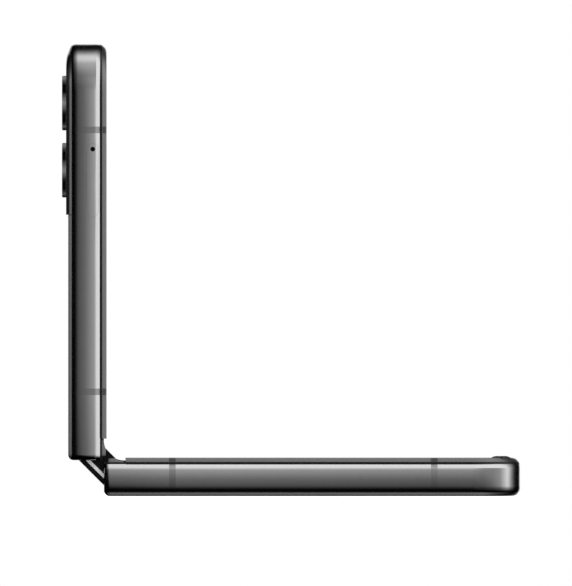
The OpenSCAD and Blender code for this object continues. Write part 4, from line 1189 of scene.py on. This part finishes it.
bm = bmesh.new()
corners = ((-1, -1), (1, -1), (1, 1), (-1, 1))
bm.faces.new([bm.verts.new((FLOOR_HALF * x, FLOOR_HALF * y, FLOOR_LEVEL)) for x, y in corners])
mesh = bpy.data.meshes.new("floor")
bm.to_mesh(mesh)
bm.free()
floor = bpy.data.objects.new("floor", mesh)
bpy.context.scene.collection.objects.link(floor)
mesh.materials.append(floor_material())
floor.visible_glossy = False
floor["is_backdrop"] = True

# What metal reflects, by the x + z of a direction, faded by its y, and white behind.
REFLECTED = [(-1.0, 0.0), (-0.6, 0.002), (-0.42, 0.02), (-0.3, 0.085), (-0.18, 0.14),
             (-0.02, 0.185), (0.06, 0.24), (0.22, 0.36), (0.335, 0.45), (0.45, 0.55),
             (0.8, 1.0), (1.0, 1.15)]
FADE = [(-1.0, 1.0), (0.05, 1.0), (0.2, 0.6), (0.27, 0.4), (0.37, 0.22), (0.45, 0.1),
        (0.52, 0.035), (0.62, 0.005), (1.0, 0.005)]
BEHIND = [(-1.0, 0.0), (0.88, 0.0), (0.97, 1.0)]


def colour_mix(nodes):
    """A node that mixes two colours, which are its inputs 6 and 7 and its output 2."""
    node = add_node(nodes, "Mix")
    node.data_type = "RGBA"
    return node


def either(nodes, links, factor, first, second):
    """One background where the factor is 0 and another where it is 1."""
    node = add_node(nodes, "MixShader")
    for i, source in enumerate((factor, first, second)):
        links.new(source, node.inputs[i])
    return node.outputs["Shader"]


def studio_backdrop():
    """White to the camera and behind the phone; reflections see a soft gradient elsewhere."""
    world = bpy.data.worlds.new("studio")
    bpy.context.scene.world = world
    world.use_nodes = True
    nodes, links = world.node_tree.nodes, world.node_tree.links
    soft = nodes["Background"]
    soft.inputs["Color"].default_value = (0.8, 0.8, 0.8, 1)
    split = add_node(nodes, "SeparateXYZ")
    links.new(add_node(nodes, "TexCoord").outputs["Generated"], split.inputs["Vector"])
    level = combined(nodes, links, "ADD", split.outputs["X"], split.outputs["Z"])
    across = split.outputs["Y"]
    both = colour_mix(nodes)
    both.blend_type = "MULTIPLY"
    both.inputs["Factor"].default_value = 1.0
    links.new(graded(nodes, links, level, REFLECTED, -1.0, 1.5), both.inputs[6])
    links.new(graded(nodes, links, across, FADE, -1.0, 1.0), both.inputs[7])
    studio = colour_mix(nodes)
    studio.inputs[7].default_value = (1, 1, 1, 1)
    behind = graded(nodes, links, across, BEHIND, -1.0, 1.0)
    links.new(behind, studio.inputs["Factor"])
    links.new(both.outputs[2], studio.inputs[6])
    mirrored = add_node(nodes, "Background")
    links.new(studio.outputs[2], mirrored.inputs["Color"])
    white = add_node(nodes, "Background", Color=(1, 1, 1, 1))
    rays = add_node(nodes, "LightPath").outputs
    glossy = either(nodes, links, rays["Is Glossy Ray"], soft.outputs["Background"],
                    mirrored.outputs["Background"])
    direct = combined(nodes, links, "MAXIMUM", rays["Is Camera Ray"],
                      rays["Is Transmission Ray"])
    seen = either(nodes, links, direct, glossy, white.outputs["Background"])
    links.new(seen, nodes["World Output"].inputs["Surface"])


studio_backdrop()


def area_light(name, place, target, size, watts):
    """A soft square lamp aimed at a target; reflections don't see it."""
    data = bpy.data.lights.new(name, "AREA")
    data.size = size
    data.energy = watts
    lamp = bpy.data.objects.new(name, data)
    lamp.location = place
    aim = Vector(target) - Vector(place)
    lamp.rotation_euler = aim.to_track_quat("-Z", "Y").to_euler()
    lamp.visible_glossy = False
    bpy.context.scene.collection.objects.link(lamp)


area_light("key_light", (0.5, -0.4, 0.7), (0, 0, 0.03), 0.5, 6)
area_light("fill_light", (-0.4, -0.6, 0.4), (0, 0, 0.03), 0.6, 2)

# ---------- camera ----------

FOCAL_LENGTH, SENSOR = 1600.0, 36.0
PIXELS_HIGH = 586
SCALE_AT_SIDE = 5.067
NEAR_SIDE_Y = -HALF_WIDTH * MM
LEVEL_X, LEVEL_Z = -40.6 * MM, 7.55 * MM
CENTRE_X, CENTRE_Z = -5.225 * MM, 40.063 * MM
view_size = PIXELS_HIGH / SCALE_AT_SIDE * MM
distance = view_size * FOCAL_LENGTH / SENSOR

camera_data = bpy.data.cameras.new("camera")
camera_data.lens = FOCAL_LENGTH
camera_data.sensor_width = SENSOR
camera_data.clip_start = 0.1
camera_data.clip_end = 30
camera = bpy.data.objects.new("camera", camera_data)
camera.location = (LEVEL_X, NEAR_SIDE_Y - distance, LEVEL_Z)
aim = Vector((CENTRE_X, NEAR_SIDE_Y, CENTRE_Z)) - camera.location
camera.rotation_euler = aim.to_track_quat("-Z", "Y").to_euler()
bpy.context.scene.collection.objects.link(camera)
bpy.context.scene.camera = camera
bpy.context.scene.view_settings.view_transform = "Standard"

low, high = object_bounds()
